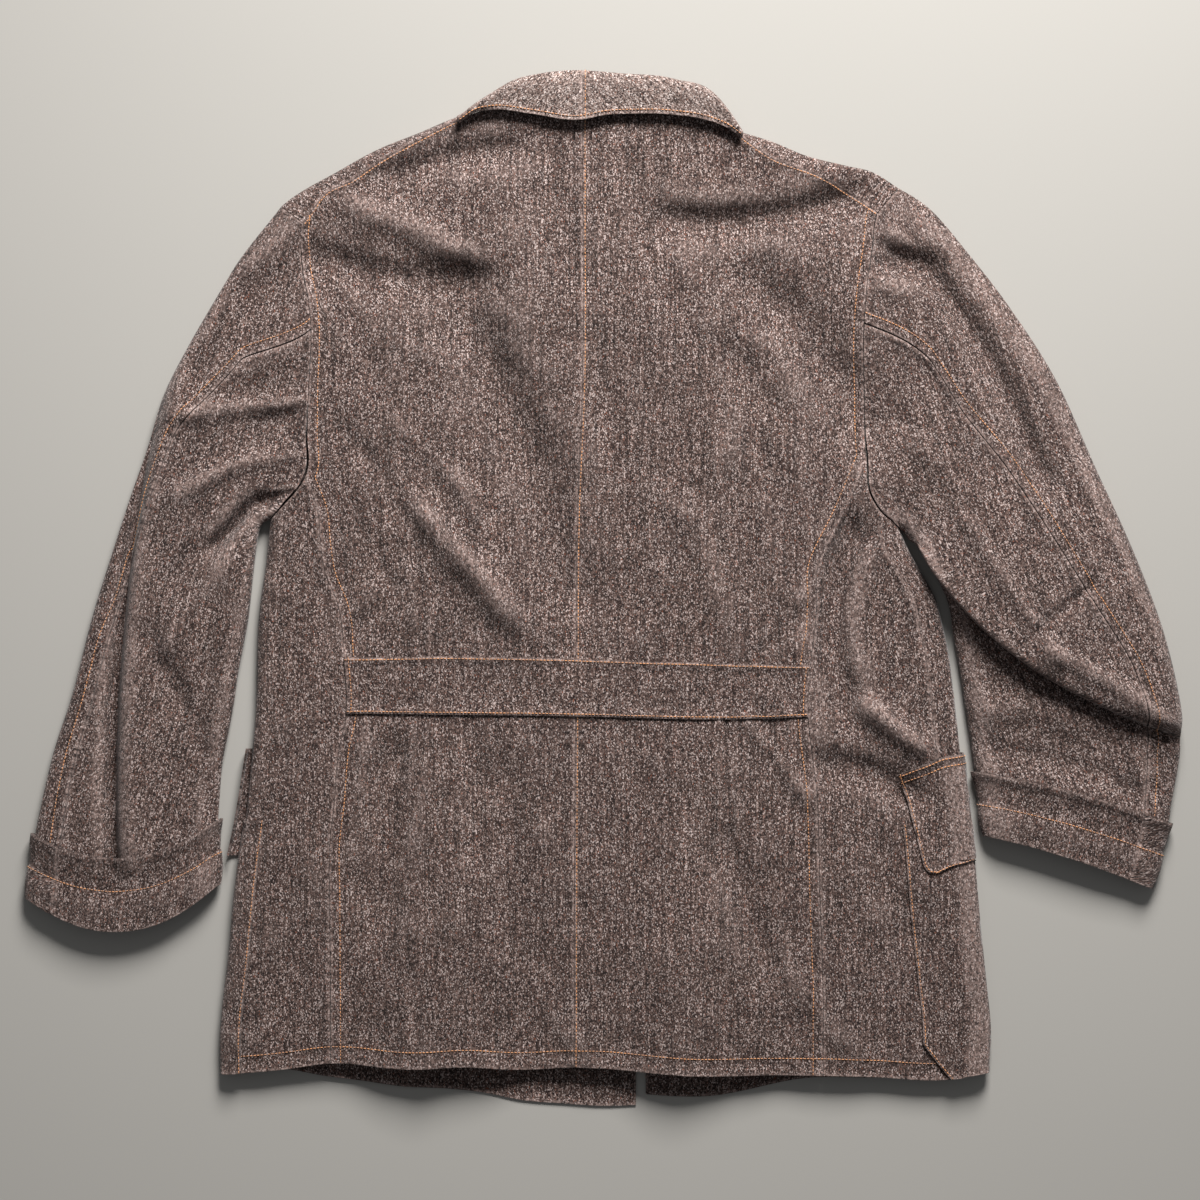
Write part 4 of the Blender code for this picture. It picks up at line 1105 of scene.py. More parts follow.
@dataclass
class BodyPieces:
    """Back, side and front panels, with the half belt, patch pockets and flaps that lie on them.

    Lengths and the stitch rows' distances from their edges are millimetres. Tops, rows and edges of pockets
    and flaps are places in the half body's lattice.
    """

    shop: Workshop
    pitch: float = 3.0
    under_pitch: float = 6.0
    belt_pitch: float = 2.2
    below_belt: float = 268.0
    belt_width: float = 43.0
    belt_half: float = 178.0
    above_belt: float = 145.0
    above_armhole: float = 250.0
    shoulder_strip: tuple[float, float] = (22.0, 2.5)
    back_width: float = 205.0
    side_width: float = 112.0
    front_widths: tuple[float, ...] = (40.0, 92.0, 50.0, 140.0)
    hem_row: float = 13.0
    side_back_row: float = 7.5
    seam_row: float = 1.6
    belt_row: float = 1.7
    belt_end_row: float = 3.4
    pocket_row: float = 1.7
    flap_row: float = 1.8
    second_flap_row: float = 7.6
    front_row_start: float = 0.55
    hem_roll: float = 0.5
    dart_pinch: float = 2.4
    dart_swell: float = 1.3
    dart_width: float = 2.4
    dart_swell_width: float = 9.0
    crest: float = 2.0
    pocket_edge: dict[str, float] = field(default_factory=lambda: {"left": 1.3, "right": 1.4})
    pocket_top: float = 0.7
    pocket_size: tuple[float, float] = (190.0, 135.0)
    mitre: float = 0.43
    mitre_rows: float = 0.1
    flap_rows: tuple[float, float] = (0.6, 0.9)
    flap_depth: float = 72.0
    flap_pitch: float = 2.4
    flap_roll: float = 0.4
    flap_corner: float = 0.13
    flap_round: float = 0.17
    flap_set_back: float = 0.05
    flap_taper: float = 0.2
    flap_slope: float = 0.055
    flap_slope_lanes: tuple[float, float] = (2.2, 0.75)
    right_flap_width: float = 132.0
    left_flap_width: float = 108.0
    flap_lean: float = 0.5
    flap_out: tuple[float, ...] = (10.0, 8.0, 6.2, 4.5)
    flap_lip: float = 1.5
    flap_turn_up: float = 9.0
    flap_turn_steps: int = 20
    flap_wear_and_highlight: float = 0.15

    def rows(self, pitch: float) -> Array:
        """Rows from the hem to the armhole's foot."""
        return stages((0, 1, self.below_belt, pitch), (1, 2, self.belt_width, pitch),
                      (2, 3, self.above_belt, pitch))

    def all_rows(self, pitch: float) -> Array:
        """Rows from the hem to the shoulder."""
        return np.concatenate([self.rows(pitch), spaced(3, 4, self.above_armhole, pitch)[1:]])

    def back(self, side: HalfBody) -> None:
        """One back panel, with its darts and topstitching."""
        lanes, rows = spaced(0, 1, self.back_width, self.pitch), self.all_rows(self.pitch)
        points = self.darted(side.points(lanes[None, :], rows[:, None]), side)
        points = drawn_in(points, (Edge.START, Edge.END, Edge.TOP))
        points = drawn_in(points, (Edge.BOTTOM,), 0, self.hem_roll)
        panel = Panel(f"back_{side.name}", points, (20, 20), wear_and_highlight=fold_wear_and_highlight(points, self.crest))
        lines = [panel.inset(Edge.BOTTOM, self.hem_row), panel.inset(Edge.END, self.side_back_row),
                 panel.inset(Edge.TOP, self.seam_row, side.neck_share)]
        if side is RIGHT_BODY:
            lines.append(panel.inset(Edge.START, self.seam_row))
        self.shop.make(panel, "twill", [f"front_{side.name}"], lines)

    def darted(self, points: Array, side: HalfBody) -> Array:
        """Pinches in the two darts, above and below the belt."""
        x, y = points[..., 0], points[..., 1]
        points = points.copy()
        for x0, y0, x1, y1, x2, y2 in DARTS[side.name]:
            t = np.clip((y - y0) / (y2 - y0), 0, 1)
            line = mix(mix(x0, x1, t), mix(x1, x2, t), t)
            depth = ease(t * 4) if y0 > 0 else ease((1 - t) * 3)
            inside = np.where((y - y0) * (y - y2) <= 0, depth, 0)
            points[..., 2] -= self.dart_pinch * inside * np.exp(-((x - line) / self.dart_width) ** 2)
            points[..., 2] += self.dart_swell * inside * np.exp(-((x - line) / self.dart_swell_width) ** 2)
        return points

    def side(self, side: HalfBody) -> None:
        """One side panel."""
        lanes, rows = spaced(1, 2, self.side_width, self.pitch), self.rows(self.pitch)
        lift = side.layers(lanes[None, :], rows[:, None]) * LAYER
        points = side.points(lanes[None, :], rows[:, None], lift)
        points = drawn_in(points, (Edge.START, Edge.END, Edge.TOP))
        panel = Panel(f"side_{side.name}", points, (20, 2), wear_and_highlight=fold_wear_and_highlight(points, self.crest))
        self.shop.make(panel, "twill", [f"front_{side.name}"], [panel.inset(Edge.BOTTOM, self.hem_row)])

    def front(self, side: HalfBody) -> None:
        """One front, with the strip that wraps over the shoulder."""
        knots = (2, FOOT_LANE, POCKET_LANE, NECK_LANE, FRONT_LANE)
        pitches = (self.pitch, *[self.under_pitch] * 3)
        lanes = stages(*zip(knots, knots[1:], self.front_widths, pitches))
        rows = np.concatenate([self.all_rows(self.under_pitch),
                               stages((4, 5, *self.shoulder_strip), (5, 6, *self.shoulder_strip))[1:]])
        lift = side.layers(lanes[None, :], rows[:, None]) * LAYER
        points = side.points(lanes[None, :], rows[:, None], lift)
        foot, neck = (int(np.argmin(abs(lanes - lane))) for lane in (FOOT_LANE, NECK_LANE))
        low, yoke = (int(np.argmin(abs(rows - row))) for row in (3, 4))
        keep = np.ones((len(rows) - 1, len(lanes) - 1), bool)
        keep[low:, :foot] = False
        keep[yoke:, neck:] = False
        points = drawn_in(points, (Edge.START, Edge.TOP))
        panel = Panel(f"front_{side.name}", points, (len(rows) - 3, foot + 3), keep, by_length=True)
        lines = [panel.inset(Edge.BOTTOM, self.hem_row, self.front_row_start)]
        self.shop.make(panel, "twill", ["floor"], lines)

    def belt(self) -> None:
        """The half belt across the back waist."""
        lanes = spaced(0, 1, self.belt_half, self.belt_pitch)
        rows = spaced(1, 2, self.belt_width, self.belt_pitch)
        left, right = (side.points(lanes[None, :], rows[:, None]) for side in BODIES)
        points = moved_out(np.concatenate([left[:, ::-1], right[:, 1:]], axis=1), LAYER, (2, 2))
        points = drawn_in(points, tuple(Edge), 0, FREE_EDGE_ROLL)
        panel = Panel("back_belt", points, (4, 20), wear_and_highlight=fold_wear_and_highlight(points, self.crest))
        lines = [panel.inset(Edge.TOP, self.belt_row), panel.inset(Edge.BOTTOM, self.belt_row),
                 panel.inset(Edge.START, self.belt_end_row), panel.inset(Edge.END, self.belt_end_row)]
        self.shop.make(panel, "twill", ["back_left", "back_right"], lines)

    def wrapped(self, side: HalfBody, lanes: Array, rows: Array, distance: float) -> Array:
        """Points that lie a distance out from the side and front.

        Args:
            side: the half body.
            lanes: lanes of the points, one list or one for each row.
            rows: their rows, one list or one for each point.
            distance: how far out they lie, in millimetres.

        Returns:
            The grid.
        """
        lanes = np.broadcast_to(lanes, (len(rows), np.shape(lanes)[-1]))
        rows = np.broadcast_to(rows if np.ndim(rows) == 2 else rows[:, None], lanes.shape)
        before = np.linspace(lanes[:, 0] - 0.12, lanes[:, 0], 5, axis=1)[:, :-1]
        after = np.linspace(lanes[:, -1], lanes[:, -1] + 0.05, 4, axis=1)[:, 1:]
        wide = np.concatenate([before, lanes, after], axis=1)
        tall = np.concatenate([rows[:, :1].repeat(4, axis=1), rows, rows[:, -1:].repeat(3, axis=1)], axis=1)
        wide = np.concatenate([wide[:1], wide, wide[-1:]])
        tall = np.concatenate([np.maximum(tall[:1] - 0.01, 0), tall, tall[-1:] + 0.01])
        tall[1] = np.maximum(tall[1], tall[0] + 1e-4)
        lift = side.layers(wide, tall) * LAYER
        points = side.points(wide, tall, lift)
        normal = grid_normals(points)
        facing = -1.0 if normal[len(rows) // 2, -1][2] > 0 else 1.0
        return (points + normal * facing * distance)[1:-1, 4:-3]

    def pocket(self, side: HalfBody) -> None:
        """One patch pocket, wrapped round the side, with its mitred lower corner."""
        tall, wide = self.pocket_size
        rows, across = spaced(0, self.pocket_top, tall, self.pitch), spaced(0, 1, wide, self.pitch)
        edge = np.full(len(rows), self.pocket_edge[side.name])
        if side is RIGHT_BODY:
            edge += self.mitre * np.clip(1 - rows / self.mitre_rows, 0, 1)
        lanes = edge[:, None] + across[None, :] * (POCKET_LANE - edge)[:, None]
        points = self.wrapped(side, lanes, rows, LAYER)
        panel = Panel(f"pocket_{side.name}", points, (6, 0), wear_and_highlight=fold_wear_and_highlight(points, self.crest))
        lines = [panel.inset(Edge.START, self.pocket_row)]
        self.shop.make(panel, "twill", [f"side_{side.name}", f"front_{side.name}"], lines)

    def right_flap(self) -> None:
        """The right flap, which slants over the side and has a rounded lower corner."""
        rows = spaced(*self.flap_rows, self.flap_depth, self.flap_pitch)
        across = spaced(0, 1, self.right_flap_width, self.pitch)
        down = (rows[-1] - rows) / (rows[-1] - rows[0])
        corner = np.clip((down - 1 + self.flap_corner) / self.flap_corner, 0, 1)
        start = self.pocket_edge["right"] + self.flap_set_back + self.flap_taper * down
        start = start + self.flap_round * (1 - np.sqrt(1 - corner ** 2))
        lanes = start[:, None] + across[None, :] * (POCKET_LANE - start)[:, None]
        last, run = self.flap_slope_lanes
        slope = self.flap_slope * np.clip((last - lanes) / run, 0, 1)
        points = self.wrapped(RIGHT_BODY, lanes, rows[:, None] - slope, 2 * LAYER)
        points = drawn_in(points, (Edge.START, Edge.BOTTOM), 0, self.flap_roll)
        panel = Panel("flap_right", points, (6, 0), wear_and_highlight=fold_wear_and_highlight(points, self.crest))
        lines = [panel.inset(edge, self.flap_row) for edge in (Edge.START, Edge.BOTTOM, Edge.TOP)]
        lines.append(panel.inset(Edge.TOP, self.second_flap_row))
        self.shop.make(panel, "twill", ["pocket_right", "side_right"], lines)

    def left_flap(self) -> None:
        """The left flap, which stands off the side's edge and turns up."""
        rows = spaced(*self.flap_rows, self.flap_depth, self.flap_pitch)
        lanes = spaced(2, POCKET_LANE, self.left_flap_width, self.pitch)
        flat = self.wrapped(LEFT_BODY, lanes[None, :], rows, 2 * LAYER)
        x, y = flat[:, 0, 0], flat[:, 0, 1]
        lip = read(LEFT_BODY.fold, y) - np.interp(np.linspace(0, 3, len(rows)), range(4), self.flap_out)
        turns = ((lip - self.flap_lean, self.flap_turn_up), (lip, self.flap_lip), ((lip + x) / 2, 0.0))
        keys = [np.stack([place, y, np.full(len(rows), FLOOR_MIDDLE + rise)], 1) for place, rise in turns]
        path = np.stack([*keys, flat[:, 0]], axis=1)
        at = np.linspace(0, 3, self.flap_turn_steps)
        turned = np.stack([[smooth(np.arange(4), line[:, k], at) for k in range(3)] for line in path])
        points = np.concatenate([np.swapaxes(turned, 1, 2)[:, :-1], flat], axis=1)
        seen = (6, 30)
        if grid_normals(points)[seen][2] > 0:
            points = points[::-1].copy()
        # The whole left flap is painted a little paler, as part wear and part painted highlight.
        panel = Panel("flap_left", points, seen, wear_and_highlight=np.full(points.shape[:2], self.flap_wear_and_highlight))
        self.shop.make(panel, "twill", ["floor"], [])

    def build(self) -> None:
        """Builds every piece of the body."""
        for side, flap in zip(BODIES, (self.left_flap, self.right_flap)):
            self.front(side)
            self.side(side)
            self.back(side)
            self.pocket(side)
            flap()
        self.belt()


@dataclass(frozen=True)
class SleeveForm:
    """A laid sleeve as sections across it, from the armhole to the cuff. Sizes are millimetres."""

    side: HalfBody
    outer: Pairs
    inner: Pairs
    bow: Sequence[float]
    height: Sequence[float]
    back_seam: Sequence[float]
    folds: Sequence[Fold]
    lap_at: float = -10.0
    lap: float = 0.0
    depth: float = SLEEVE_DEPTH
    reach: float = 14.0
    crown: float = 0.18
    armhole_blend: float = 1.6
    cuff_sections: int = 2
    front_seam: float = 0.72
    underarm_gap: float = 1.6
    wave_height: float = 0.45
    wave_seed: int = 11
    calm: float = 0.8
    calm_from: float = 0.15
    calm_run: float = 0.5
    lap_width: float = 0.8
    tuck: float = 0.55
    tuck_after: float = 1.9
    tuck_width: float = 0.7
    lap_roundness: float = 0.35

    @property
    def cuff_start(self) -> int:
        """The section at which the cuff's upper edge lies."""
        return len(self.outer) - 1 - self.cuff_sections

    def grain(self) -> Triple:
        """The direction of the cloth's warp, from the armhole to the cuff."""
        ends = np.asarray(self.outer, float) + np.asarray(self.inner, float)
        run = (ends[-1] - ends[0]) / np.linalg.norm(ends[-1] - ends[0])
        return float(run[0]), float(run[1]), 0.0

    def section(self, station: Array, share: Array, upper: bool) -> Array:
        """Points across the sleeve.

        Args:
            station: sections of the points, which may lie between two.
            share: their shares of the way from the outer to the inner edge.
            upper: whether they lie on the upper side.

        Returns:
            Their places.
        """
        index = np.arange(len(self.outer))
        station, share = np.broadcast_arrays(station, share)

        def at(values: Sequence[float]) -> Array:
            """A column of the table, read between sections."""
            return smooth(index, np.asarray(values, float), station)

        outer = np.stack([at([p[0] for p in self.outer]), at([p[1] for p in self.outer])], axis=-1)
        inner = np.stack([at([p[0] for p in self.inner]), at([p[1] for p in self.inner])], axis=-1)
        width = np.linalg.norm(inner - outer, axis=-1)
        near = np.minimum(share, 1 - share) * width
        swing = np.clip(near / self.reach, 0, 1)
        rounded = self.reach * (1 - np.cos(swing * math.pi / 2))
        inset = np.where(near < self.reach, rounded, near)
        run = np.where(share < 0.5, inset, width - inset) / width
        across = (inner - outer) / width[..., None]
        onward = np.stack([-across[..., 1], across[..., 0]], axis=-1) * self.side.sign
        bow = at(self.bow) * 4 * run * (1 - run)
        base = FLOOR_MIDDLE + LAYER * ease(station - self.cuff_start + 1)
        crown = at(self.height) * (1 - self.crown + self.crown * np.sin(math.pi * share))
        plan = mix(outer, inner, run[..., None]) + onward * bow[..., None]
        waves = ripples(plan[..., 0], plan[..., 1], NARROWEST_WAVE, self.wave_height, self.wave_seed) * swing
        calm = 1 - self.calm * ease((station - self.cuff_start - self.calm_from) / self.calm_run)
        top = crown + self.depth * calm * lifted(self.folds, plan[..., 0], plan[..., 1]) * swing + waves
        top = np.maximum(top, base + LEAST_CLEAR)
        middle = (crown + base) / 2
        past = station - self.lap_at
        lean = np.exp(-(past / self.lap_width) ** 2)
        lean = lean - self.tuck * np.exp(-((past - self.tuck_after) / self.tuck_width) ** 2)
        lean = self.lap * lean * ease(swing)
        if upper:
            round_part = np.sin(math.pi * np.clip(share, 0, 1)) ** self.lap_roundness
            plan = plan + onward * (lean * round_part)[..., None]
            z = middle + (top - middle) * np.sin(swing * math.pi / 2)
        else:
            z = middle - (middle - base) * np.sin(swing * math.pi / 2)
        return np.concatenate([plan, z[..., None]], axis=-1)

    def chains(self, pitch: float) -> tuple[Array, Array]:
        """The armhole's edge from the shoulder's fold to the fold under the arm, above and below."""
        side = self.side
        around = np.linspace(1, FOOT_LANE, 240)
        reach = side.place(around, np.full(len(around), side.fold[-1][0]))[1]
        edge = float(np.interp(0.0, reach[::-1], around[::-1]))
        over, under = spaced(5, 6, 20, pitch), spaced(5, 4, 20, pitch)
        yoke = spaced(4, 3, 245, pitch)
        upper, lower = spaced(1, edge, 60, pitch), spaced(FOOT_LANE, edge, 40, pitch)
        top = np.concatenate([side.points(np.full(len(over) - 1, FOOT_LANE), over[:-1]),
                              side.points(np.ones(len(yoke)), yoke),
                              side.points(upper[1:], np.full(len(upper) - 1, 3.0))])
        bottom = np.concatenate([side.points(np.full(len(under) - 1, FOOT_LANE), under[:-1]),
                                 side.points(np.full(len(yoke), FOOT_LANE), yoke),
                                 side.points(lower[1:], np.full(len(lower) - 1, 3.0))])
        return top, bottom

    def grids(self, stations: Array, pitch: float) -> list[tuple[Array, int]]:
        """The sleeve above and below at each station, each with the column of its seam."""
        made = []
        for chain, upper in zip(self.chains(pitch), (True, False)):
            tangent = np.gradient(chain[:, :2], axis=0)
            tangent = tangent / np.maximum(np.linalg.norm(tangent, axis=1, keepdims=True), 1e-9)
            outward = np.stack([tangent[:, 1], -tangent[:, 0]], axis=1) * -self.side.sign
            run = np.concatenate([[0], np.cumsum(np.linalg.norm(np.diff(chain[:, :2], axis=0), axis=1))])
            start = run / run[-1]
            rim = chain.copy()
            rim[:, :2] += outward * mix(SEAM_GAP, self.underarm_gap, ease((start - 0.6) / 0.2))[:, None]
            aim = self.back_seam[0] if upper else self.front_seam
            seam = int(np.argmin(abs(start - aim)))
            moving = np.full(len(stations), self.front_seam)
            if upper:
                moving = smooth(np.arange(len(self.outer)), np.asarray(self.back_seam), stations)
            settle = ease(stations / self.armhole_blend)
            first = start[seam]
            moving = mix(first, moving, settle)[:, None]
            share = np.where(start[None, :] <= first, start[None, :] * moving / first,
                             moving + (start[None, :] - first) * (1 - moving) / (1 - first))
            grid = self.section(stations[:, None], share, upper)
            zero = self.section(np.zeros((1, 1)), start[None, :], upper)
            made.append((grid + (rim[None] - zero) * (1 - settle)[:, None, None], seam))
        return made

    def stations(self, first: float, last: float, pitch: float) -> Array:
        """Sections a pitch apart, measured along the outer edge."""
        outer = np.asarray(self.outer, float)
        inner = np.asarray(self.inner, float)
        steps = np.maximum(np.linalg.norm(np.diff(outer, axis=0), axis=1),
                           np.linalg.norm(np.diff(inner, axis=0), axis=1))
        run = np.concatenate([[0], np.cumsum(np.maximum(steps, 14))])
        ends = np.interp([first, last], range(len(run)), run)
        return np.interp(spaced(ends[0], ends[1], ends[1] - ends[0], pitch), run, range(len(run)))


@dataclass
class Sleeves:
    """Top and under sleeves with their turned-back cuffs."""

    shop: Workshop
    pitch: float = 3.0
    short: float = 0.12
    seam_gap: float = 0.8
    seam_drop: float = 1.3
    back_gap: float = 0.5
    back_row: float = 7.4
    crest: float = 2.0
    cuff_pitch: float = 2.4
    cuff_depth: float = 0.2
    cuff_stand: float = 1.7
    cuff_stand_share: float = 0.3
    cuff_seam: float = 0.44
    cuff_seam_depth: float = 0.5
    cuff_seam_width: float = 0.03
    cuff_roll: float = 1.6
    cuff_row: float = 26.0
    cuff_crest: float = 1.5

    def build(self, form: SleeveForm) -> None:
        """Builds one sleeve and its cuff.

        Args:
            form: the sleeve's form.
        """
        side, last = form.side, len(form.outer) - 1
        stations = form.stations(0, last - self.short, self.pitch)
        (above, back), (below, front) = form.grids(stations, self.pitch)
        outer = np.concatenate([above[:, back::-1], below[:, 1:front + 1]], axis=1)
        inner = np.concatenate([above[:, back:], below[:, -2:front - 1:-1]], axis=1)
        seams = (Edge.START, Edge.END)
        outer, inner = (drawn_in(grid, seams, self.seam_gap) for grid in (outer, inner))
        inner = drawn_in(inner, (Edge.START,), self.back_gap, self.seam_drop)
        grain = form.grain()
        top, under = (
            Panel(f"{name}_{side.name}", grid, (8, 4), wear_and_highlight=fold_wear_and_highlight(grid, self.crest), grain=grain)
            for name, grid in (("top_sleeve", outer), ("under_sleeve", inner)))
        self.shop.make(top, "twill", [f"front_{side.name}", "floor"], [top.inset(Edge.START, self.back_row)])
        self.shop.make(under, "twill", [f"side_{side.name}", "floor"], [])
        self.cuff(form)

    def cuff(self, form: SleeveForm) -> None:
        """Builds one cuff as a ring round the sleeve's end.

        Args:
            form: the sleeve's form.
        """
        side, last = form.side, len(form.outer) - 1
        smoother = replace(form, depth=self.cuff_depth * form.depth)
        stations = form.stations(form.cuff_start, last, self.cuff_pitch)
        (above, back), (below, _) = smoother.grids(stations, self.pitch)
        ring = np.concatenate([above[:, back:], below[:, -2::-1], above[:, 1:back + 1]], axis=1)
        down = np.linspace(0, 1, len(ring))[:, None]
        past = down - self.cuff_seam
        stand = self.cuff_stand * ease(1 - down / self.cuff_stand_share)
        groove = self.cuff_seam_depth * np.exp(-(past / self.cuff_seam_width) ** 2)
        roll = self.cuff_roll * np.sin(math.pi * np.clip(past / (1 - self.cuff_seam), 0, 1))
        ring = moved_out(ring, LAYER + stand - groove + roll, (1, 3))
        ring = drawn_in(ring, (Edge.START, Edge.END), self.seam_gap)
        ring = drawn_in(ring, (Edge.BOTTOM,), 0, FREE_EDGE_ROLL)
        wear_and_highlight = fold_wear_and_highlight(ring, self.cuff_crest)
        panel = Panel(f"cuff_{side.name}", ring, (4, 4), wear_and_highlight=wear_and_highlight, by_length=True)
        lines = [panel.inset(Edge.BOTTOM, self.cuff_row)]
        self.shop.make(panel, "twill_lined", [f"top_sleeve_{side.name}", f"under_sleeve_{side.name}"], lines)


@dataclass
class Collar:
    """The turned-down collar, seamed at the centre back and cut on the bias."""

    shop: Workshop
    pitch: float = 2.4
    short: float = 0.2
    gap: float = 0.8
    least_stand: float = 0.8
    steps: int = 26
    edge_row: float = 3.2
    crest: float = 1.2
    crest_rounds: int = 8
    seam_row: float = 1.8
    bias: float = 45.0
    wave: tuple[float, float, int] = (30.0, 0.35, 21)
    sag: float = 0.4
    fall: tuple[Triple, ...] = (
        (0, 0, 0.2), (0, 0.45, 0.8), (0, 0.8, 2.2), (0, 0.96, 4.4), (1, 0, 6.6), (1, 0.05, 8.8),
        (1, 0.2, 10.4), (1, 0.55, 9.6), (1, 1, 7.4))
    top: Pairs = (
        (-109, 357.5), (-99, 366), (-84, 376), (-67, 386), (-49, 390.5), (-23, 393), (13, 391),
        (55, 386.5), (85, 375),
        (98, 359), (106, 346.5))
    edge: Pairs = (
        (-109, 354), (-99, 361), (-84, 364), (-54, 361), (-19, 356), (3, 360), (22, 361), (55, 360),
        (77, 356.5),
        (95, 350), (106, 343))

    def build(self, side: HalfBody) -> None:
        """Builds one half of the collar."""
        lanes = spaced(0, side.neck_share, 100, self.pitch)
        seam = side.points(lanes, np.full(len(lanes), 4.0))
        seam[-1, 0] -= side.sign * self.short
        x, neck = seam[:, 0], seam[:, 1] + self.gap
        fold = np.maximum(read(self.top, x), neck + self.least_stand)
        edge = read(self.edge, x)
        under = body_height(x, neck, FLOOR_MIDDLE)
        rows = []
        for back, run, rise in self.fall:
            y = mix(fold, edge, run) if back else mix(neck, fold, run)
            rows.append(np.stack([x, y, under + rise], axis=-1))
        rows = np.array(rows)
        at = np.linspace(0, len(rows) - 1, self.steps)
        keys = np.arange(len(rows))
        columns = [[smooth(keys, rows[:, j, k], at) for j in range(len(x))] for k in range(3)]
        points = np.swapaxes(np.stack(columns, axis=-1), 0, 1)
        waves = ripples(points[..., 0], points[..., 1], *self.wave) - self.sag
        points[..., 2] += waves * ease(at / 8 - 1)[:, None]
        points = drawn_in(points, (Edge.START,))
        panel = Panel(
            f"collar_{side.name}", points, (self.steps - 4, 10), turned=math.radians(self.bias * side.sign),
            wear_and_highlight=fold_wear_and_highlight(points, self.crest, self.crest_rounds), grain=(1.0, 0.0, 0.0))
        lines = [panel.inset(Edge.TOP, self.edge_row)]
        if side is RIGHT_BODY:
            lines.append(panel.inset(Edge.START, self.seam_row))
        self.shop.make(panel, "twill_bias", [f"back_{side.name}"], lines)


LEFT_SLEEVE = SleeveForm(
    side=LEFT_BODY,
    outer=[(-250, 288), (-272, 258), (-289, 230), (-314, 187), (-333, 149), (-346, 107), (-360, 67), (-374, 24),
           (-388, -21), (-403, -79), (-418, -126), (-431, -185), (-434, -210), (-437, -234)],
    inner=[(-255, 53), (-261, 49), (-264, 34), (-267, 8), (-270, -20), (-274, -42), (-278, -63), (-281, -84),
           (-285, -106), (-290, -131), (-292, -155), (-293, -173), (-293, -198), (-293, -223)],
    bow=[0, 0, 0, 0, 0, 0, 0, 0, 2, 7, 14, 23, 27, 30],
    height=[11, 13, 15, 16, 17, 17, 16, 16, 15, 15, 15, 15, 14, 13],
    back_seam=[0.40, 0.36, 0.32, 0.24, 0.16, *[0.13] * 9],
    folds=[Fold(*row) for row in (
        (-333, 165, -370, -215, -14, 3.6, 8, -7.5),
        (-321, 160, -357, -205, -14, 8, 7, 2.2),
        (-252, 80, -294, 35, 0, 5, 6, -4.6),
        (-312, 134, -232, 141, 3, 7, 8, 2.3),
        (-316, 76, -246, 106, 3, 7, 8, 2.5),
        (-345, -40, -325, -75, 0, 12, 10, -2.0),
        (-318, -95, -300, -125, 0, 10, 10, -1.8),
        (-322, 15, -305, 32, 0, 9, 9, -1.9),
        (-276, 60, -312, -4, 2, 6, 7, -1.6),
        (-264, 150, -300, 60, 8, 10, 12, -1.8),
        (-286, 20, -330, -40, -4, 8, 9, 1.4),
        (-300, -60, -322, -170, 4, 9, 11, -1.8),
        (-386, -60, -402, -150, 3, 7, 9, -1.5),
        (-344, -110, -352, -190, 2, 7, 8, 1.4),
        (-298, -145, -298, -172, 0, 2.5, 4, -2.2),
        (-276, 224, -306, 168, 4, 9, 9, -1.6),
        (-256, 216, -270, 170, 3, 7, 8, 1.3),
    )])
RIGHT_SLEEVE = SleeveForm(
    side=RIGHT_BODY,
    outer=[(228, 300), (252, 286), (277, 257), (309, 215), (344, 160), (374, 93), (399, 38), (420, -15),
           (432, -56),
           (439, -92), (439, -106), (439, -113), (439, -121), (438, -131), (436, -142), (434, -153),
           (432, -164),
           (430, -176), (424, -200), (416, -226)],
    inner=[(227, 48), (229, 45), (231, 43), (232, 41), (233, 40), (234, 39), (235, 38), (236, 38), (237, 38),
           (238, 37), (240, 35), (246, 27), (263, -7), (268, -35), (273, -63), (277, -90), (281, -115),
           (284, -137),
           (288, -161), (292, -186)],
    bow=[0, 0, 0, 0, 0, 4, 8, 13, 19, 23, 24, 23, 15, 9, 4, 0, -2, -4, -4, -3],
    height=[11, 14, 17, 19, 21, 23, 25, 26, 27, 28, 23, 13, 14, 13, 13, 13, 14, 15, 14, 13],
    back_seam=[0.40, 0.42, 0.44, 0.46, 0.44, 0.38, 0.32, 0.24, 0.15, 0.10, 0.10, 0.11, 0.12, *[0.13] * 7],
    lap_at=9.2, lap=7.0,
    folds=[Fold(*row) for row in (
        (207, 230, 240, 243, -3, 8, 10, -3.4),
        (252, 240, 331, 91, 6, 9, 11, -4.6),
        (331, -28, 367, 1, 0, 5, 5, -1.7),
        (279, 50, 344, -45, -3, 5, 8, 2.3),
        (344, -45, 431, -96, 3, 5, 7, 2.1),
        (210, 190, 262, 140, 6, 10, 12, -1.8),
        (222, 120, 268, 80, 4, 9, 10, 1.6),
        (340, 60, 388, -20, 5, 9, 10, 1.5),
        (206, 288, 228, 268, 0, 4, 5, -2.0),
        (208, 276, 226, 258, 0, 3.5, 4, 1.6),
        (290, -90, 360, -100, 5, 10, 12, 1.6),
        (300, -120, 400, -150, 4, 8, 10, -1.4),
    )])


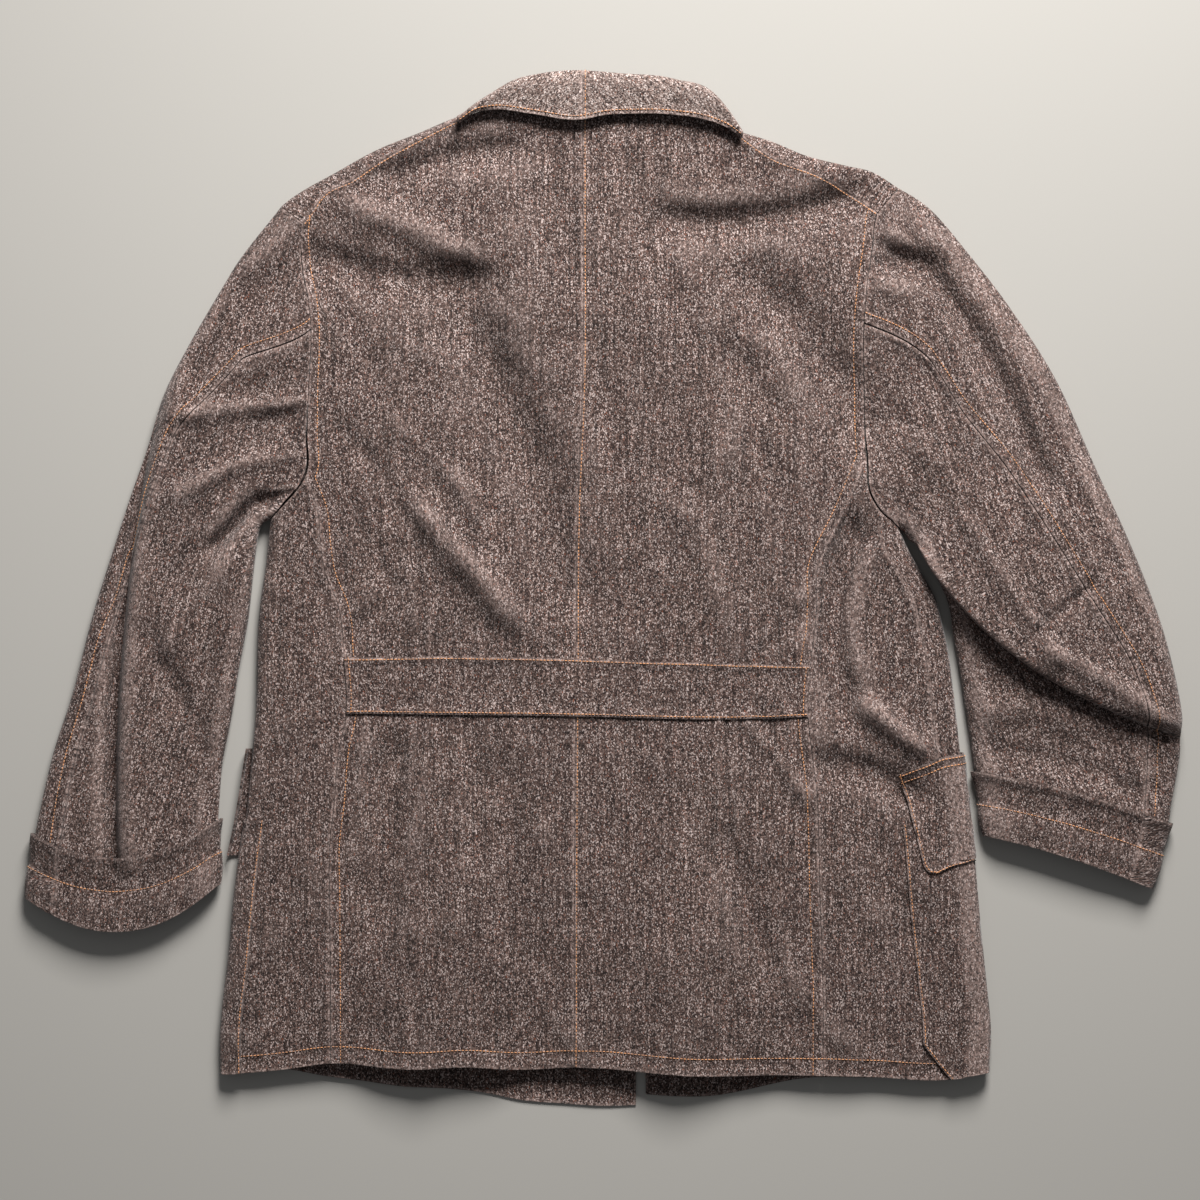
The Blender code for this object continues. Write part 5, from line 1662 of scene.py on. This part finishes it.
@dataclass(frozen=True)
class Studio:
    """Pale floor, one soft light from the upper right, and the camera of the photo. Sizes are metres."""

    floor_size: float = 6.0
    floor_colour: Colour = (0.43, 0.415, 0.39)
    frame_width: float = 0.912
    camera_at: Triple = (-0.0021, -0.0077, 2.2)
    focus_height: float = 0.01
    sensor: float = 36.0
    light_at: Triple = (0.40, 1.95, 1.24)
    light_size: float = 0.95
    light_colour: Colour = (1.0, 0.985, 0.96)
    light_power: float = 44.0
    light_spread: float = 110.0
    light_aim: Triple = (0.0, 0.1, 0.0)
    sky: float = 0.14
    sky_colour: Colour = (0.96, 0.98, 1.0)

    def floor(self) -> None:
        """Builds the pale floor."""
        deselect()
        bpy.ops.mesh.primitive_plane_add(size=self.floor_size, location=(0, 0, 0))
        ground = bpy.context.object
        ground.name = "floor"
        nodes = Nodes("pale_floor")
        nodes.shader.inputs["Base Color"].default_value = (*self.floor_colour, 1)
        nodes.shader.inputs["Roughness"].default_value = 0.9
        ground.data.materials.append(nodes.material)

    def light(self) -> None:
        """Adds the key light and the sky."""
        bpy.ops.object.light_add(type="AREA", location=self.light_at)
        key = bpy.context.object
        key.name = "key_light"
        key.data.shape = "SQUARE"
        key.data.size = self.light_size
        key.data.energy = self.light_power
        key.data.color = self.light_colour
        key.data.spread = math.radians(self.light_spread)
        aim = Vector(self.light_aim) - Vector(self.light_at)
        key.rotation_euler = aim.to_track_quat("-Z", "Y").to_euler()
        world = bpy.context.scene.world or bpy.data.worlds.new("sky")
        bpy.context.scene.world = world
        world.use_nodes = True
        back = world.node_tree.nodes["Background"]
        back.inputs[0].default_value = (*self.sky_colour, 1)
        back.inputs[1].default_value = self.sky

    def camera(self) -> None:
        """Adds the camera, straight down."""
        bpy.ops.object.camera_add(location=self.camera_at, rotation=(0, 0, 0))
        camera = bpy.context.object
        camera.data.sensor_width = self.sensor
        camera.data.lens = self.sensor * (self.camera_at[2] - self.focus_height) / self.frame_width
        bpy.context.scene.camera = camera

    def build(self) -> None:
        """Builds the whole studio."""
        self.floor()
        self.light()
        self.camera()
        bpy.context.scene.view_settings.view_transform = "Standard"


def main() -> None:
    """Builds the jacket, then the studio."""
    logging.basicConfig(level=logging.INFO, format="%(message)s")
    shop = Workshop(twill=Twill("twill_cloth").material(), bias=FADED_TWILL.material(),
                    lined=Twill("lined_twill_cloth").material(), thread=Thread().material())
    BodyPieces(shop).build()
    sleeves = Sleeves(shop)
    for form in (LEFT_SLEEVE, RIGHT_SLEEVE):
        sleeves.build(form)
    collar = Collar(shop)
    for side in BODIES:
        collar.build(side)
    Studio().build()


if __name__ == "__main__":
    main()
